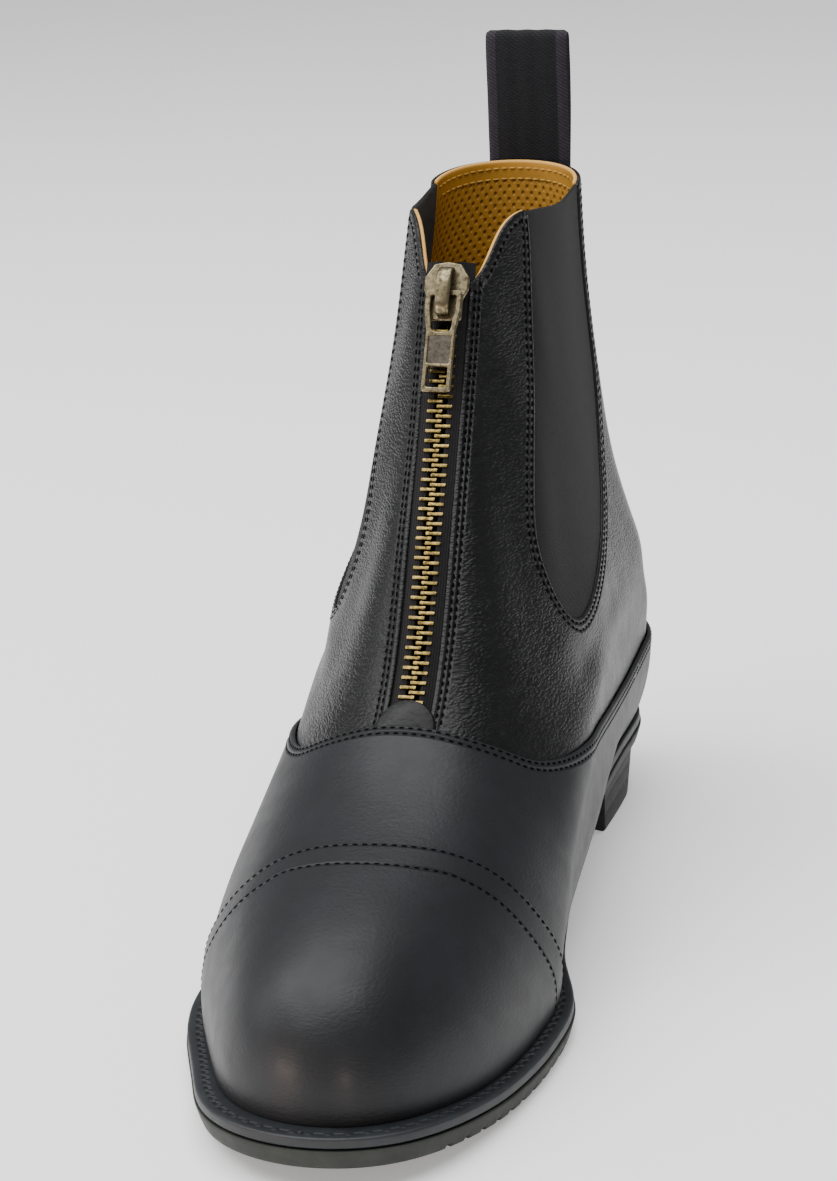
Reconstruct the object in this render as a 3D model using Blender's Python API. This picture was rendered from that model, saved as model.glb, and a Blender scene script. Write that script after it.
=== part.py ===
"""Black leather zip paddock boot for the right foot, standing empty on its sole.

Metres, +Z up. The toe points to -Y and +X is the medial (inner) side. The origin is on the
floor under the middle of the sole's bounding box. In the tables, along is a distance back
from the toe tip, up is a height, and both are shares of the named sizes beside them.
"""
import math

import bmesh
import bpy
import numpy as np

# Driving sizes of the last and the shaft
LENGTH = 0.268
BALL_WIDTH = 0.082
INSTEP_HEIGHT = 0.0703
ZIP_FOOT = 0.106
COLLAR_HEIGHT = 0.1715
COLLAR_FRONT = 0.1747
COLLAR_DROP = 0.0090
COLLAR_FRONT_HEIGHT = COLLAR_HEIGHT - COLLAR_DROP
COLLAR_WIDTH = 0.0400
TOE_SWING = 0.0095
TOE_SWING_LENGTH = 0.078
INSTEP_SHIFT = 0.0045
SHAFT_SHIFT = 0.0007

# Bottom unit
HEEL_HEIGHT = 0.0160
HEEL_LENGTH = 0.067
HEEL_INSET = 0.0026
HEEL_TAPER = 0.0016
HEEL_SLOPE = 0.0060
HEEL_HOLLOW = 0.0060
HEEL_CORNER = 0.0040
BREAST_LIP = 0.0010
TOE_SPRING = 0.0065
OUTSOLE_THICKNESS = 0.0046
MIDSOLE_THICKNESS = 0.0025
INSOLE_THICKNESS = 0.0030
TOE_MARGIN = 0.0095
BALL_MARGIN = 0.0063
WAIST_MARGIN = 0.0032
HEEL_MARGIN = 0.0030
WELT_STEP = 0.0004
EDGE_TAPER = 0.0012
GROOVE_WIDTH = 0.0016
GROOVE_DEPTH = 0.0014
GROOVE_PITCH = 0.0058
GROOVE_REACH = 0.016
TREAD_START = 0.075
TREAD_END = 0.44

# Leather and fit
WALL = 0.0020
GAP = 0.0003
VAMP_THICKNESS = 0.0012
CAP_THICKNESS = 0.0009
STRIP_THICKNESS = 0.0011
STRIP_WIDTH = 0.020
STRIP_MARGIN = 0.0022
ELASTIC_THICKNESS = 0.0013
ELASTIC_RECESS = 0.0003
PIECE_THICKNESS = 0.0010
PIECE_LIFT = 0.0008
PIECE_WIDTH = 0.0150
PIECE_LENGTH = 0.0085
PIECE_SHOULDER = 0.45
PIECE_NECK = 0.62
PIECE_ROUND = 0.25

# Zip, a number five metal chain
SLOT_WIDTH = 0.0124
CHAIN_WIDTH = 0.0058
CHAIN_THICKNESS = 0.0020
TOOTH_PITCH = 0.00254
TOOTH_LENGTH = 0.00115
TOOTH_REACH = 0.0036
TAPE_THICKNESS = 0.0008
TAPE_RECESS = 0.0007
SLIDER_LENGTH = 0.0150
SLIDER_TOP_WIDTH = 0.0112
SLIDER_FOOT_WIDTH = 0.0088
SLIDER_INSET = 0.0015
POST_TOP_WIDTH = 0.0052
POST_FOOT_WIDTH = 0.0024
POST_TOP = 0.76
PLATE_THICKNESS = 0.0013
BRIDGE_WIDTH = 0.0037
BRIDGE_ABOVE = 0.0068
BRIDGE_BELOW = 0.0056
BRIDGE_THICKNESS = 0.0010
BRIDGE_INSET = 0.0015
SINK = 0.0005
TAB_LENGTH = 0.0257
TAB_TOP_WIDTH = 0.0091
TAB_FOOT_WIDTH = 0.0074
TAB_THICKNESS = 0.0013
TAB_RAIL = 0.0015
TAB_WINDOW = 0.0086
TAB_FOOT_WINDOW = 0.0051
BAR_THICKNESS = 0.0014
TAB_CORNER = 0.0012
TAB_SHOULDER = 0.0045
TAB_WAIST = 0.0095
TAB_LIP = 0.0013

# Pull loop of webbing at the back
WEBBING_WIDTH = 0.0220
LOOP_SHIFT = 0.0014
WEBBING_THICKNESS = 0.0013
LOOP_RISE = 0.0350
LOOP_DEPTH = 0.0084
TONGUE_LENGTH = 0.0240
LOOP_JOIN = 0.0030
LOOP_SLIT = 0.0100
STRAND_LOW = 0.0040
STRAND_HIGH = 0.0160

# Fineness of the meshes
RINGS = 22
SIDE_COLUMNS = 22
ZIP_SAMPLES = 30
ARC_STEPS = 8
VAMP_RINGS = range(0, 15)
CAP_RINGS = range(0, 12)
PIECE_RINGS = range(5, 14)
STRIP_RINGS = range(6, RINGS)
GORE_RINGS = range(8, RINGS + 1)

# Reach of the cutters past what they cut
MARGIN = 0.040
CUT_REACH = 0.010
SIDE_CLEAR = 0.004

# Sole bottom in the front part: along is a share of LENGTH, up of TOE_SPRING
TOE_CURVE = ((0.00, 1.00), (0.05, 0.70), (0.10, 0.40), (0.15, 0.17), (0.20, 0.04), (0.24, 0.00))
# Sole bottom behind the tread: along is a share of LENGTH, up of the heel's height
SHANK_CURVE = ((0.40, 0.00), (0.46, 0.10), (0.55, 0.36), (0.62, 0.60), (0.68, 0.79),
               (0.74, 0.93), (0.80, 1.00))
# Top line of the forefoot: along from the feather at the toe to the zip's foot, up to the instep
TOE_RIDGE = ((0.000, 0.000), (0.006, 0.100), (0.030, 0.235), (0.095, 0.377), (0.228, 0.516),
             (0.416, 0.622), (0.625, 0.706), (0.833, 0.826), (1.000, 1.000))
# Front line of the shaft: along from the zip's foot to the collar, up from the instep
SHAFT_FRONT = ((0.180, 0.139), (0.415, 0.352), (0.656, 0.573), (0.873, 0.826), (1.000, 1.000),
               (1.077, 1.119))
# Back line: in from the heel's end as a share of LENGTH, up from the seat to the collar
BACK_LINE = ((0.0020, 0.000), (-0.0020, 0.081), (-0.0010, 0.176), (0.0190, 0.325),
             (0.0440, 0.461), (0.0545, 0.597), (0.0520, 0.753), (0.0440, 0.888),
             (0.0355, 1.000), (0.0305, 1.058))
# Plan of the last: along, medial half and lateral half as shares of BALL_WIDTH
PLAN = ((0.00, 0.440, 0.440), (0.09, 0.435, 0.370), (0.14, 0.455, 0.360), (0.20, 0.478, 0.390),
        (0.26, 0.508, 0.440), (0.31, 0.520, 0.462), (0.37, 0.500, 0.462), (0.45, 0.478, 0.440),
        (0.55, 0.468, 0.412), (0.68, 0.442, 0.395), (0.82, 0.425, 0.398), (1.00, 0.410, 0.390))
# Tuck under the last at the feather: along, depth as a share of BALL_WIDTH
TUCK = ((0.00, 0.015), (0.20, 0.015), (0.32, 0.022), (0.45, 0.080), (0.58, 0.100),
        (0.72, 0.080), (0.85, 0.055), (1.00, 0.045))
# Shaft half width: up as a share of COLLAR_HEIGHT, half width of COLLAR_WIDTH
SHAFT_HALF = ((0.10, 0.880), (0.233, 0.912), (0.32, 0.920), (0.385, 0.895), (0.45, 0.850),
              (0.51, 0.792), (0.583, 0.726), (0.67, 0.668), (0.758, 0.608), (0.875, 0.540),
              (1.00, 0.500), (1.06, 0.490))
# Collar line seen from the side: along as a share of LENGTH, up as a share of COLLAR_HEIGHT
COLLAR_LINE = ((0.560, 0.8600), (0.640, 0.9080), (0.672, 0.9520), (0.702, 0.9900),
               (0.735, 0.9960), (0.800, 0.9860), (0.870, 0.9900), (0.920, 1.0000),
               (1.000, 1.0080))
# Rear edge of the vamp and its wings: along from the zip's foot to the heel, up of INSTEP_HEIGHT
VAMP_LINE = ((-0.0356, 1.100), (-0.0273, 0.958), (-0.0124, 0.903), (0.0091, 0.853),
             (0.0339, 0.806), (0.0736, 0.772), (0.1298, 0.752), (0.2225, 0.738),
             (0.3714, 0.700), (0.5368, 0.660), (0.7519, 0.660), (1.0331, 0.700))
# Rear edge of the toe cap: along as a share of LENGTH, up of INSTEP_HEIGHT
CAP_LINE = ((0.228, 0.830), (0.238, 0.747), (0.250, 0.697), (0.257, 0.650), (0.263, 0.590),
            (0.270, 0.500), (0.281, 0.384), (0.291, 0.280), (0.302, 0.050))
CAP_SKEW = 0.185
# Elastic side panel: along as a share of LENGTH, up as a share of COLLAR_HEIGHT
GORE_FRONT = ((0.734, 1.080), (0.726, 0.980), (0.706, 0.886), (0.670, 0.765), (0.634, 0.680),
              (0.604, 0.610), (0.584, 0.555), (0.577, 0.510))
GORE_TIP = ((0.580, 0.466), (0.592, 0.444), (0.615, 0.440))
GORE_BACK = ((0.672, 0.464), (0.731, 0.504), (0.780, 0.560), (0.817, 0.641), (0.843, 0.729),
             (0.862, 0.845), (0.880, 0.985), (0.886, 1.080))
# Width of the sole beyond the feather: along from toe to heel, the margin there
MARGIN_LINE = ((0.00, TOE_MARGIN), (0.12, 0.75 * TOE_MARGIN), (0.27, BALL_MARGIN),
               (0.55, WAIST_MARGIN), (0.80, HEEL_MARGIN), (1.00, HEEL_MARGIN))
# Right half of the slider's plan: sideways of the half width at the foot or the top, up of half
# its length
SLIDER_PLAN = ((1.000, -1.000), (1.045, -0.467), (1.000, 0.133), (1.000, 0.467), (0.679, 0.840),
               (0.214, 1.000))


def monotone(rows, column=1):
    """Smooth curve through a table that keeps its flats flat and never overshoots."""
    xs = np.array([row[0] for row in rows], float)
    ys = np.array([row[column] for row in rows], float)
    step = np.diff(xs)
    slope = np.diff(ys) / step
    tangent = np.zeros(len(xs))
    tangent[0], tangent[-1] = slope[0], slope[-1]
    for i in range(1, len(xs) - 1):
        if slope[i - 1] * slope[i] > 0:
            before = 2 * step[i] + step[i - 1]
            after = step[i] + 2 * step[i - 1]
            tangent[i] = (before + after) / (before / slope[i - 1] + after / slope[i])

    def curve(x):
        x = np.clip(np.asarray(x, float), xs[0], xs[-1])
        i = np.clip(np.searchsorted(xs, x, side="right") - 1, 0, len(step) - 1)
        t = (x - xs[i]) / step[i]
        return (ys[i] * (1 + 2 * t) * (1 - t) ** 2 + step[i] * tangent[i] * t * (1 - t) ** 2
                + ys[i + 1] * t * t * (3 - 2 * t) + step[i] * tangent[i + 1] * t * t * (t - 1))
    return curve


def natural(xs, ys):
    """Natural cubic spline through the points."""
    xs, ys = np.asarray(xs, float), np.asarray(ys, float)
    count, step = len(xs), np.diff(xs)
    matrix, side = np.zeros((count, count)), np.zeros(count)
    matrix[0, 0] = matrix[-1, -1] = 1
    for i in range(1, count - 1):
        matrix[i, i - 1:i + 2] = step[i - 1], 2 * (step[i - 1] + step[i]), step[i]
        side[i] = 6 * ((ys[i + 1] - ys[i]) / step[i] - (ys[i] - ys[i - 1]) / step[i - 1])
    bend = np.linalg.solve(matrix, side)

    def curve(x):
        x = np.clip(np.asarray(x, float), xs[0], xs[-1])
        i = np.clip(np.searchsorted(xs, x, side="right") - 1, 0, count - 2)
        a, b, h = xs[i + 1] - x, x - xs[i], step[i]
        return (bend[i] * a ** 3 / (6 * h) + bend[i + 1] * b ** 3 / (6 * h)
                + (ys[i] / h - bend[i] * h / 6) * a + (ys[i + 1] / h - bend[i + 1] * h / 6) * b)
    return curve


def path(points, samples=400):
    """Points evenly spaced by length along a smooth curve through the given ones."""
    points = np.array(points, float)
    chord = np.concatenate([[0], np.cumsum(np.linalg.norm(np.diff(points, axis=0), axis=1))])
    fine = np.linspace(0, chord[-1], samples)
    dense = np.stack([natural(chord, column)(fine) for column in points.T], 1)
    length = np.concatenate([[0], np.cumsum(np.linalg.norm(np.diff(dense, axis=0), axis=1))])
    even = np.linspace(0, length[-1], samples)
    return even, np.stack([np.interp(even, length, column) for column in dense.T], 1)


def smoothstep(x, low, high):
    """Zero below low, one above high, smooth between."""
    t = np.clip((np.asarray(x, float) - low) / (high - low), 0, 1)
    return t * t * (3 - 2 * t)


def rounded(distance, radius, power):
    """Share of full width reached at a distance in from a rounded edge."""
    t = 1 - np.clip(distance / radius, 0, 1)
    return (1 - t * t) ** (1 / power)


# Lines of the last, worked out from the tables
SEAT_RISE = HEEL_HEIGHT + GAP
STACK = OUTSOLE_THICKNESS + GAP + MIDSOLE_THICKNESS + GAP
toe_curve = monotone(TOE_CURVE)
shank_curve = monotone(SHANK_CURVE)
tuck_share = monotone(TUCK)
margin_width = monotone(MARGIN_LINE)
TOE_START = TOE_MARGIN
HEEL_END = LENGTH - HEEL_MARGIN


def sole_bottom(along):
    """Height of the outsole's underside."""
    share = np.asarray(along, float) / LENGTH
    return TOE_SPRING * toe_curve(share) + SEAT_RISE * shank_curve(share)


def feather(along):
    """Height of the line where the upper meets the welt."""
    return sole_bottom(along) + STACK


def ridge_points():
    """Front and top line of the boot, from the feather at the toe to above the collar."""
    instep_rise = INSTEP_HEIGHT - float(feather(ZIP_FOOT))
    rows = []
    for along, up in TOE_RIDGE:
        back = TOE_START + along * (ZIP_FOOT - TOE_START)
        rows.append((back, float(feather(back)) + up * instep_rise))
    for along, up in SHAFT_FRONT:
        rows.append((ZIP_FOOT + along * (COLLAR_FRONT - ZIP_FOOT),
                     INSTEP_HEIGHT + up * (COLLAR_FRONT_HEIGHT - INSTEP_HEIGHT)))
    return rows


def back_points():
    """Back line of the boot, from the seat to above the collar."""
    seat = float(feather(HEEL_END))
    return [(HEEL_END - inset * LENGTH, seat + up * (COLLAR_HEIGHT - seat))
            for inset, up in BACK_LINE]


RIDGE_LENGTHS, RIDGE = path(ridge_points())
BACK_LENGTHS, BACK = path(back_points())
PLAN_MEDIAL = natural([row[0] for row in PLAN], [row[1] for row in PLAN])
PLAN_LATERAL = natural([row[0] for row in PLAN], [row[2] for row in PLAN])
SHAFT = natural([row[0] for row in SHAFT_HALF], [row[1] for row in SHAFT_HALF])
TOE_ROUND = 0.205 * LENGTH
MEDIAL_ROUND = 0.54
LATERAL_ROUND = 0.64
FRONT_RISE = 1.30
HEEL_ROUND = 0.125 * LENGTH
COLLAR_ROUND = 0.070 * LENGTH
TUCK_HEIGHT = 0.019
LEAN = (0.26, 0.46)
SHAFT_BLEND_UP = (0.05, 0.34)
SHAFT_BLEND_ALONG = (0.32, 0.60)
BLEND_START = 0.3
MEDIAL_FULLNESS = 2.25
LATERAL_FULLNESS = 1.95
SHAFT_FULLNESS = 2.20


def ridge_height(along):
    """Height of the ridge over a point, carried on in a straight line past its end."""
    along = np.asarray(along, float)
    slope = (RIDGE[-1, 1] - RIDGE[-20, 1]) / (RIDGE[-1, 0] - RIDGE[-20, 0])
    inside = np.interp(along, RIDGE[:, 0], RIDGE[:, 1])
    return inside + np.maximum(along - RIDGE[-1, 0], 0) * slope


def ridge_along(up):
    """How far back the ridge is at a height."""
    return np.interp(up, RIDGE[:, 1], RIDGE[:, 0])


def centre(along, up):
    """Sideways place of the middle line, which swings to the medial side at toe and instep."""
    along, up = np.asarray(along, float), np.asarray(up, float)
    swing = TOE_SWING * np.clip(1 - along / TOE_SWING_LENGTH, 0, 1) ** 2
    hump = np.exp(-((along - ZIP_FOOT) / (0.2 * LENGTH)) ** 2)
    instep = INSTEP_SHIFT * hump * smoothstep(up, BLEND_START * INSTEP_HEIGHT, INSTEP_HEIGHT)
    return swing + instep - SHAFT_SHIFT * smoothstep(up, INSTEP_HEIGHT, 0.7 * COLLAR_HEIGHT)


def half_width(side, along, up):
    """Half width of the last and shaft on one side (+1 medial, -1 lateral)."""
    along, up = np.asarray(along, float), np.asarray(up, float)
    plan = (PLAN_MEDIAL if side > 0 else PLAN_LATERAL)(along / LENGTH) * BALL_WIDTH
    above = up - feather(along)
    tuck = BALL_WIDTH * tuck_share(along / LENGTH) * np.clip(1 - above / TUCK_HEIGHT, 0, 1) ** 2
    plan = (plan - tuck) * rounded(along - TOE_START, TOE_ROUND, 2.0)
    shaft = SHAFT(up / COLLAR_HEIGHT) * COLLAR_WIDTH
    slab = plan + (shaft - plan) * smoothstep(above / COLLAR_HEIGHT, *SHAFT_BLEND_UP) \
        * smoothstep(along / LENGTH, *SHAFT_BLEND_ALONG)
    lean = smoothstep(along / LENGTH, *LEAN)
    drop = np.maximum(ridge_height(along) - up, 0)
    depth = np.maximum(along - ridge_along(up), 1e-9)
    inward = drop / np.sqrt(1 + lean * (drop / depth) ** 2)
    section = np.maximum(ridge_height(along) - feather(along), 1e-6)
    deep = np.interp(up, BACK[:, 1], BACK[:, 0]) - ridge_along(up)
    share = MEDIAL_ROUND if side > 0 else LATERAL_ROUND
    broad = ((share * deep) ** -4 + (FRONT_RISE * np.maximum(above, 0.001)) ** -4) ** -0.25
    radius = section + (broad - section) * lean
    fullness = MEDIAL_FULLNESS if side > 0 else LATERAL_FULLNESS
    fullness = fullness + (SHAFT_FULLNESS - fullness) * lean
    behind = np.interp(up, BACK[:, 1], BACK[:, 0]) - along
    share = smoothstep(up, BLEND_START * COLLAR_HEIGHT, COLLAR_HEIGHT)
    back_radius = HEEL_ROUND + (COLLAR_ROUND - HEEL_ROUND) * share
    return slab * rounded(inward, radius, fullness) * rounded(behind, back_radius, 2.0)


def ring_grid():
    """Points of the upper's outer form, one ring after another from feather to collar."""
    turn = np.linspace(0, math.pi, SIDE_COLUMNS + 1)
    chord = (1 - np.cos(turn)) / 2
    start, end = RIDGE[0], BACK[0]
    rings = []
    for share in np.linspace(0, 1, RINGS + 1):
        front = np.array([np.interp(share * RIDGE_LENGTHS[-1], RIDGE_LENGTHS, c) for c in RIDGE.T])
        back = np.array([np.interp(share * BACK_LENGTHS[-1], BACK_LENGTHS, c) for c in BACK.T])
        along = front[0] + (back[0] - front[0]) * chord
        up = front[1] + (back[1] - front[1]) * chord
        below = start[0] + (end[0] - start[0]) * chord
        level = start[1] + (end[1] - start[1]) * chord
        up = up + (feather(below) - level) * (1 - share) ** 3
        middle = centre(along, up)
        medial = middle + half_width(1, along, up)
        lateral = middle - half_width(-1, along, up)
        x = np.concatenate([medial, lateral[-2:0:-1]])
        y = np.concatenate([along, along[-2:0:-1]])
        z = np.concatenate([up, up[-2:0:-1]])
        rings.append(np.stack([x, y, z], 1))
    return np.array(rings)


def grid_normals(grid):
    """Outward unit normals of a ring grid."""
    around = np.roll(grid, -1, axis=1) - np.roll(grid, 1, axis=1)
    rise = np.gradient(grid, axis=0)
    normal = np.cross(around, rise)
    normal /= np.linalg.norm(normal, axis=2, keepdims=True)
    flat = normal[0] * (1, 1, 0)
    normal[0] = flat / np.linalg.norm(flat, axis=1, keepdims=True)
    return normal


GRID = ring_grid()
NORMALS = grid_normals(GRID)
FEATHER_LOOP = GRID[0]


def loop_offset(loop, distance):
    """A closed plan loop moved outward by a distance at each point."""
    flat = loop[:, :2]
    edge = np.roll(flat, -1, axis=0) - np.roll(flat, 1, axis=0)
    normal = np.stack([edge[:, 1], -edge[:, 0]], 1)
    normal /= np.linalg.norm(normal, axis=1, keepdims=True)
    return flat + normal * np.reshape(distance, (-1, 1))


def outline(extra=0.0):
    """Plan outline of the bottom unit, moved outward by extra."""
    share = (FEATHER_LOOP[:, 1] - TOE_START) / (HEEL_END - TOE_START)
    return loop_offset(FEATHER_LOOP, margin_width(share) + extra)


SOLE_OUTLINE = outline()
SIDE_SHIFT = -(SOLE_OUTLINE[:, 0].min() + SOLE_OUTLINE[:, 0].max()) / 2
BACK_SHIFT = -(SOLE_OUTLINE[:, 1].min() + SOLE_OUTLINE[:, 1].max()) / 2
SHIFT = np.array([SIDE_SHIFT, BACK_SHIFT, 0.0])


def finish(name, vertices, faces, material, sharp=35):
    """Object from points in the last's frame, moved to the part's own frame."""
    mesh = bpy.data.meshes.new(name)
    mesh.from_pydata([tuple(np.asarray(v, float) + SHIFT) for v in vertices], [], faces)
    builder = bmesh.new()
    builder.from_mesh(mesh)
    bmesh.ops.remove_doubles(builder, verts=builder.verts, dist=1e-6)
    bmesh.ops.recalc_face_normals(builder, faces=builder.faces)
    builder.to_mesh(mesh)
    builder.free()
    mesh.shade_smooth()
    mesh.set_sharp_from_angle(angle=math.radians(sharp))
    obj = bpy.data.objects.new(name, mesh)
    bpy.context.scene.collection.objects.link(obj)
    if material:
        mesh.materials.append(material)
    return obj


def material(name, colour, roughness, metallic=0.0):
    """Principled material of one sub-part."""
    made = bpy.data.materials.new(name)
    made.use_nodes = True
    shader = made.node_tree.nodes["Principled BSDF"]
    shader.inputs["Base Color"].default_value = (*colour, 1.0)
    shader.inputs["Roughness"].default_value = roughness
    shader.inputs["Metallic"].default_value = metallic
    return made


def stitch_loops(loops, close=False):
    """Vertices and quads that join loops of equal length one after another."""
    count = len(loops[0])
    vertices = [point for loop in loops for point in loop]
    faces = []
    last = len(loops) if close else len(loops) - 1
    for i in range(last):
        j = (i + 1) % len(loops)
        for k in range(count):
            n = (k + 1) % count
            faces.append((i * count + k, i * count + n, j * count + n, j * count + k))
    return vertices, faces


def capped(loops):
    """Closed solid lofted through loops, with a face on each end."""
    vertices, faces = stitch_loops(loops)
    count = len(loops[0])
    faces.append(tuple(range(count))[::-1])
    base = len(vertices) - count
    faces.append(tuple(base + k for k in range(count)))
    return vertices, faces


def offset_ring(index, distance):
    """Ring of the upper's form moved outward; the lowest one stays on the feather surface."""
    ring = GRID[index] + NORMALS[index] * distance
    if index == 0:
        ring[:, 2] = feather(ring[:, 1])
    return ring


def shell(name, inner, outer, rings, made):
    """Hollow solid between two offsets of the upper's form, open below and above."""
    rings = list(rings)
    count, columns = len(rings), len(GRID[0])
    vertices = [point for i in rings for point in offset_ring(i, outer)]
    vertices += [point for i in rings for point in offset_ring(i, inner)]
    faces = []
    for k in range(columns):
        n = (k + 1) % columns
        for i in range(count - 1):
            a, b, c, d = (i * columns + k, i * columns + n,
                          (i + 1) * columns + n, (i + 1) * columns + k)
            base = count * columns
            faces += [(a, b, c), (a, c, d)]
            faces += [(base + c, base + b, base + a), (base + d, base + c, base + a)]
        for i, turn in ((0, 1), (count - 1, -1)):
            a, b = i * columns + k, i * columns + n
            faces.append((b, a, a + base, b + base)[::turn])
    return finish(name, vertices, faces, made)


def boolean(target, cutter, operation):
    """Exact Boolean kept as a modifier, with a hidden cutter."""
    cutter.hide_render = True
    cutter.display_type = "WIRE"
    modifier = target.modifiers.new(operation.lower(), "BOOLEAN")
    modifier.operation = operation
    modifier.solver = "EXACT"
    modifier.object = cutter


def side_prism(name, outline_points, low=-MARGIN * 2, high=MARGIN * 2, skew=0.0):
    """Cutter whose side view is the given outline, running across the boot."""
    loops = [[(x, along + skew * x, up) for along, up in outline_points] for x in (low, high)]
    vertices, faces = capped(loops)
    return finish(name, vertices, faces, None)


def side_curve(rows, along_size, up_size, samples=24, start=0.0):
    """Smooth side view curve through a table of shares, measured back from a start."""
    points = [(start + along * along_size, up * up_size) for along, up in rows]
    return [tuple(point) for point in path(points, samples)[1]]


def plate(name, low_loop, high_loop, bottom, top, made):
    """Plate between two plan loops whose two faces follow heights along the boot."""
    vertices = [(x, y, float(bottom(y))) for x, y in low_loop]
    vertices += [(x, y, float(top(y))) for x, y in high_loop]
    count = len(low_loop)
    faces = [(k, (k + 1) % count, count + (k + 1) % count, count + k) for k in range(count)]
    half = count // 2
    for base in (0, count):
        for k in range(half):
            a, b = k, k + 1
            c, d = (count - k - 1) % count, (count - k) % count
            if k == 0:
                faces.append((base, base + b, base + c))
            elif k == half - 1:
                faces.append((base + a, base + b, base + d))
            else:
                faces.append((base + a, base + b, base + c, base + d))
    return finish(name, vertices, faces, made)


def box_cutter(name, boxes):
    """One cutter made of boxes that do not touch, each given by two corners."""
    vertices, faces = [], []
    for low, high in boxes:
        base = len(vertices)
        for x in (low[0], high[0]):
            for y in (low[1], high[1]):
                for z in (low[2], high[2]):
                    vertices.append((x, y, z))
        for face in ((0, 1, 3, 2), (4, 6, 7, 5), (0, 4, 5, 1), (2, 3, 7, 6), (0, 2, 6, 4),
                     (1, 5, 7, 3)):
            faces.append(tuple(base + i for i in face))
    return finish(name, vertices, faces, None)


def zip_frame(length, step=0.001):
    """Point on the ridge, its outward normal and its direction, at a length up the ridge."""
    point = np.array([np.interp(length, RIDGE_LENGTHS, c) for c in RIDGE.T])
    ahead = np.array([np.interp(length + step, RIDGE_LENGTHS, c) for c in RIDGE.T])
    behind = np.array([np.interp(length - step, RIDGE_LENGTHS, c) for c in RIDGE.T])
    direction = (ahead - behind) / np.linalg.norm(ahead - behind)
    normal = np.array([-direction[1], direction[0]])
    x = float(centre(*point))
    return (np.array([x, *point]), np.array([0.0, *normal]), np.array([0.0, *direction]))


def zip_point(length, sideways, lift):
    """Point beside the zip's middle line, a lift above the flat of the tape."""
    origin, normal, _ = zip_frame(length)
    return origin + normal * lift + np.array([sideways, 0.0, 0.0])


def zip_strip(name, low, high, bottom, top, start, end, made, samples=ZIP_SAMPLES):
    """Strip with a rectangular section that follows the ridge."""
    loops = []
    for length in np.linspace(start, end, samples):
        loops.append([zip_point(length, low, bottom), zip_point(length, high, bottom),
                      zip_point(length, high, top), zip_point(length, low, top)])
    vertices, faces = capped(loops)
    return finish(name, vertices, faces, made)


# Places along the ridge, measured as lengths from the toe's feather
ZIP_START = float(np.interp(ZIP_FOOT, RIDGE[:, 0], RIDGE_LENGTHS))
COLLAR_LENGTH = float(np.interp(COLLAR_FRONT, RIDGE[:, 0], RIDGE_LENGTHS))
SLIDER_TOP = COLLAR_LENGTH - SLIDER_INSET
SLIDER_FOOT = SLIDER_TOP - SLIDER_LENGTH
TAB_AXIS = SLIDER_TOP - BRIDGE_INSET - BRIDGE_ABOVE


def build_upper(leather):
    """Hollow upper with the throat for the zip, the side cut-outs and the collar cut."""
    upper = shell("upper", -WALL, 0.0, range(RINGS + 1), leather)
    line = side_curve(COLLAR_LINE, LENGTH, COLLAR_HEIGHT)
    roof = COLLAR_HEIGHT + MARGIN
    collar = side_prism("cut_collar", line + [(line[-1][0] + MARGIN, line[-1][1]),
                                              (line[-1][0] + MARGIN, roof), (line[0][0], roof)])
    boolean(upper, collar, "DIFFERENCE")
    boolean(upper, side_prism("cut_gores", gore_outline(0.0)), "DIFFERENCE")
    half = SLOT_WIDTH / 2
    throat = zip_strip("cut_throat", -half, half, -CUT_REACH, CUT_REACH, ZIP_START,
                       RIDGE_LENGTHS[-1] - SLIDER_INSET, None)
    boolean(upper, throat, "DIFFERENCE")
    return upper


def gore_outline(inset):
    """Side view outline of the elastic cut-out, moved inward by inset."""
    rows = GORE_FRONT + GORE_TIP + GORE_BACK
    points = np.array(side_curve(rows, LENGTH, COLLAR_HEIGHT, 34))
    edge = np.gradient(points, axis=0)
    normal = np.stack([-edge[:, 1], edge[:, 0]], 1)
    normal /= np.linalg.norm(normal, axis=1, keepdims=True)
    return [tuple(point) for point in points + normal * inset]


def build_gores(elastic):
    """Elastic panels in the two side cut-outs."""
    top = side_curve(COLLAR_LINE, LENGTH, COLLAR_HEIGHT)
    made = []
    for name, side in (("gore_medial", 1), ("gore_lateral", -1)):
        gore = shell(name, -ELASTIC_RECESS - ELASTIC_THICKNESS, -ELASTIC_RECESS,
                     GORE_RINGS, elastic)
        reach = (SIDE_CLEAR, MARGIN * 2) if side > 0 else (-MARGIN * 2, -SIDE_CLEAR)
        boolean(gore, side_prism("keep_" + name, gore_outline(GAP), *reach), "INTERSECT")
        roof = COLLAR_HEIGHT + MARGIN
        collar = side_prism("trim_" + name,
                            [(a, u - GAP) for a, u in top]
                            + [(top[-1][0] + MARGIN, top[-1][1]), (top[-1][0] + MARGIN, roof),
                               (top[0][0], roof)])
        boolean(gore, collar, "DIFFERENCE")
        made.append(gore)
    return made


def vamp_region(name, back):
    """Cutter that covers the vamp and its wings, its edge moved back by a distance."""
    line = side_curve(VAMP_LINE, LENGTH - ZIP_FOOT, INSTEP_HEIGHT, start=ZIP_FOOT + back)
    rest = [(line[-1][0] + MARGIN, line[-1][1]), (line[-1][0] + MARGIN, -MARGIN),
            (-MARGIN, -MARGIN), (-MARGIN, line[0][1] + MARGIN),
            (line[0][0], line[0][1] + MARGIN)]
    return side_prism(name, line + rest)


def build_vamp(leather):
    """Vamp with wings that run back round the heel, standing proud of the quarters."""
    vamp = shell("vamp", GAP, GAP + VAMP_THICKNESS, VAMP_RINGS, leather)
    boolean(vamp, vamp_region("keep_vamp", 0.0), "INTERSECT")
    return vamp


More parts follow.
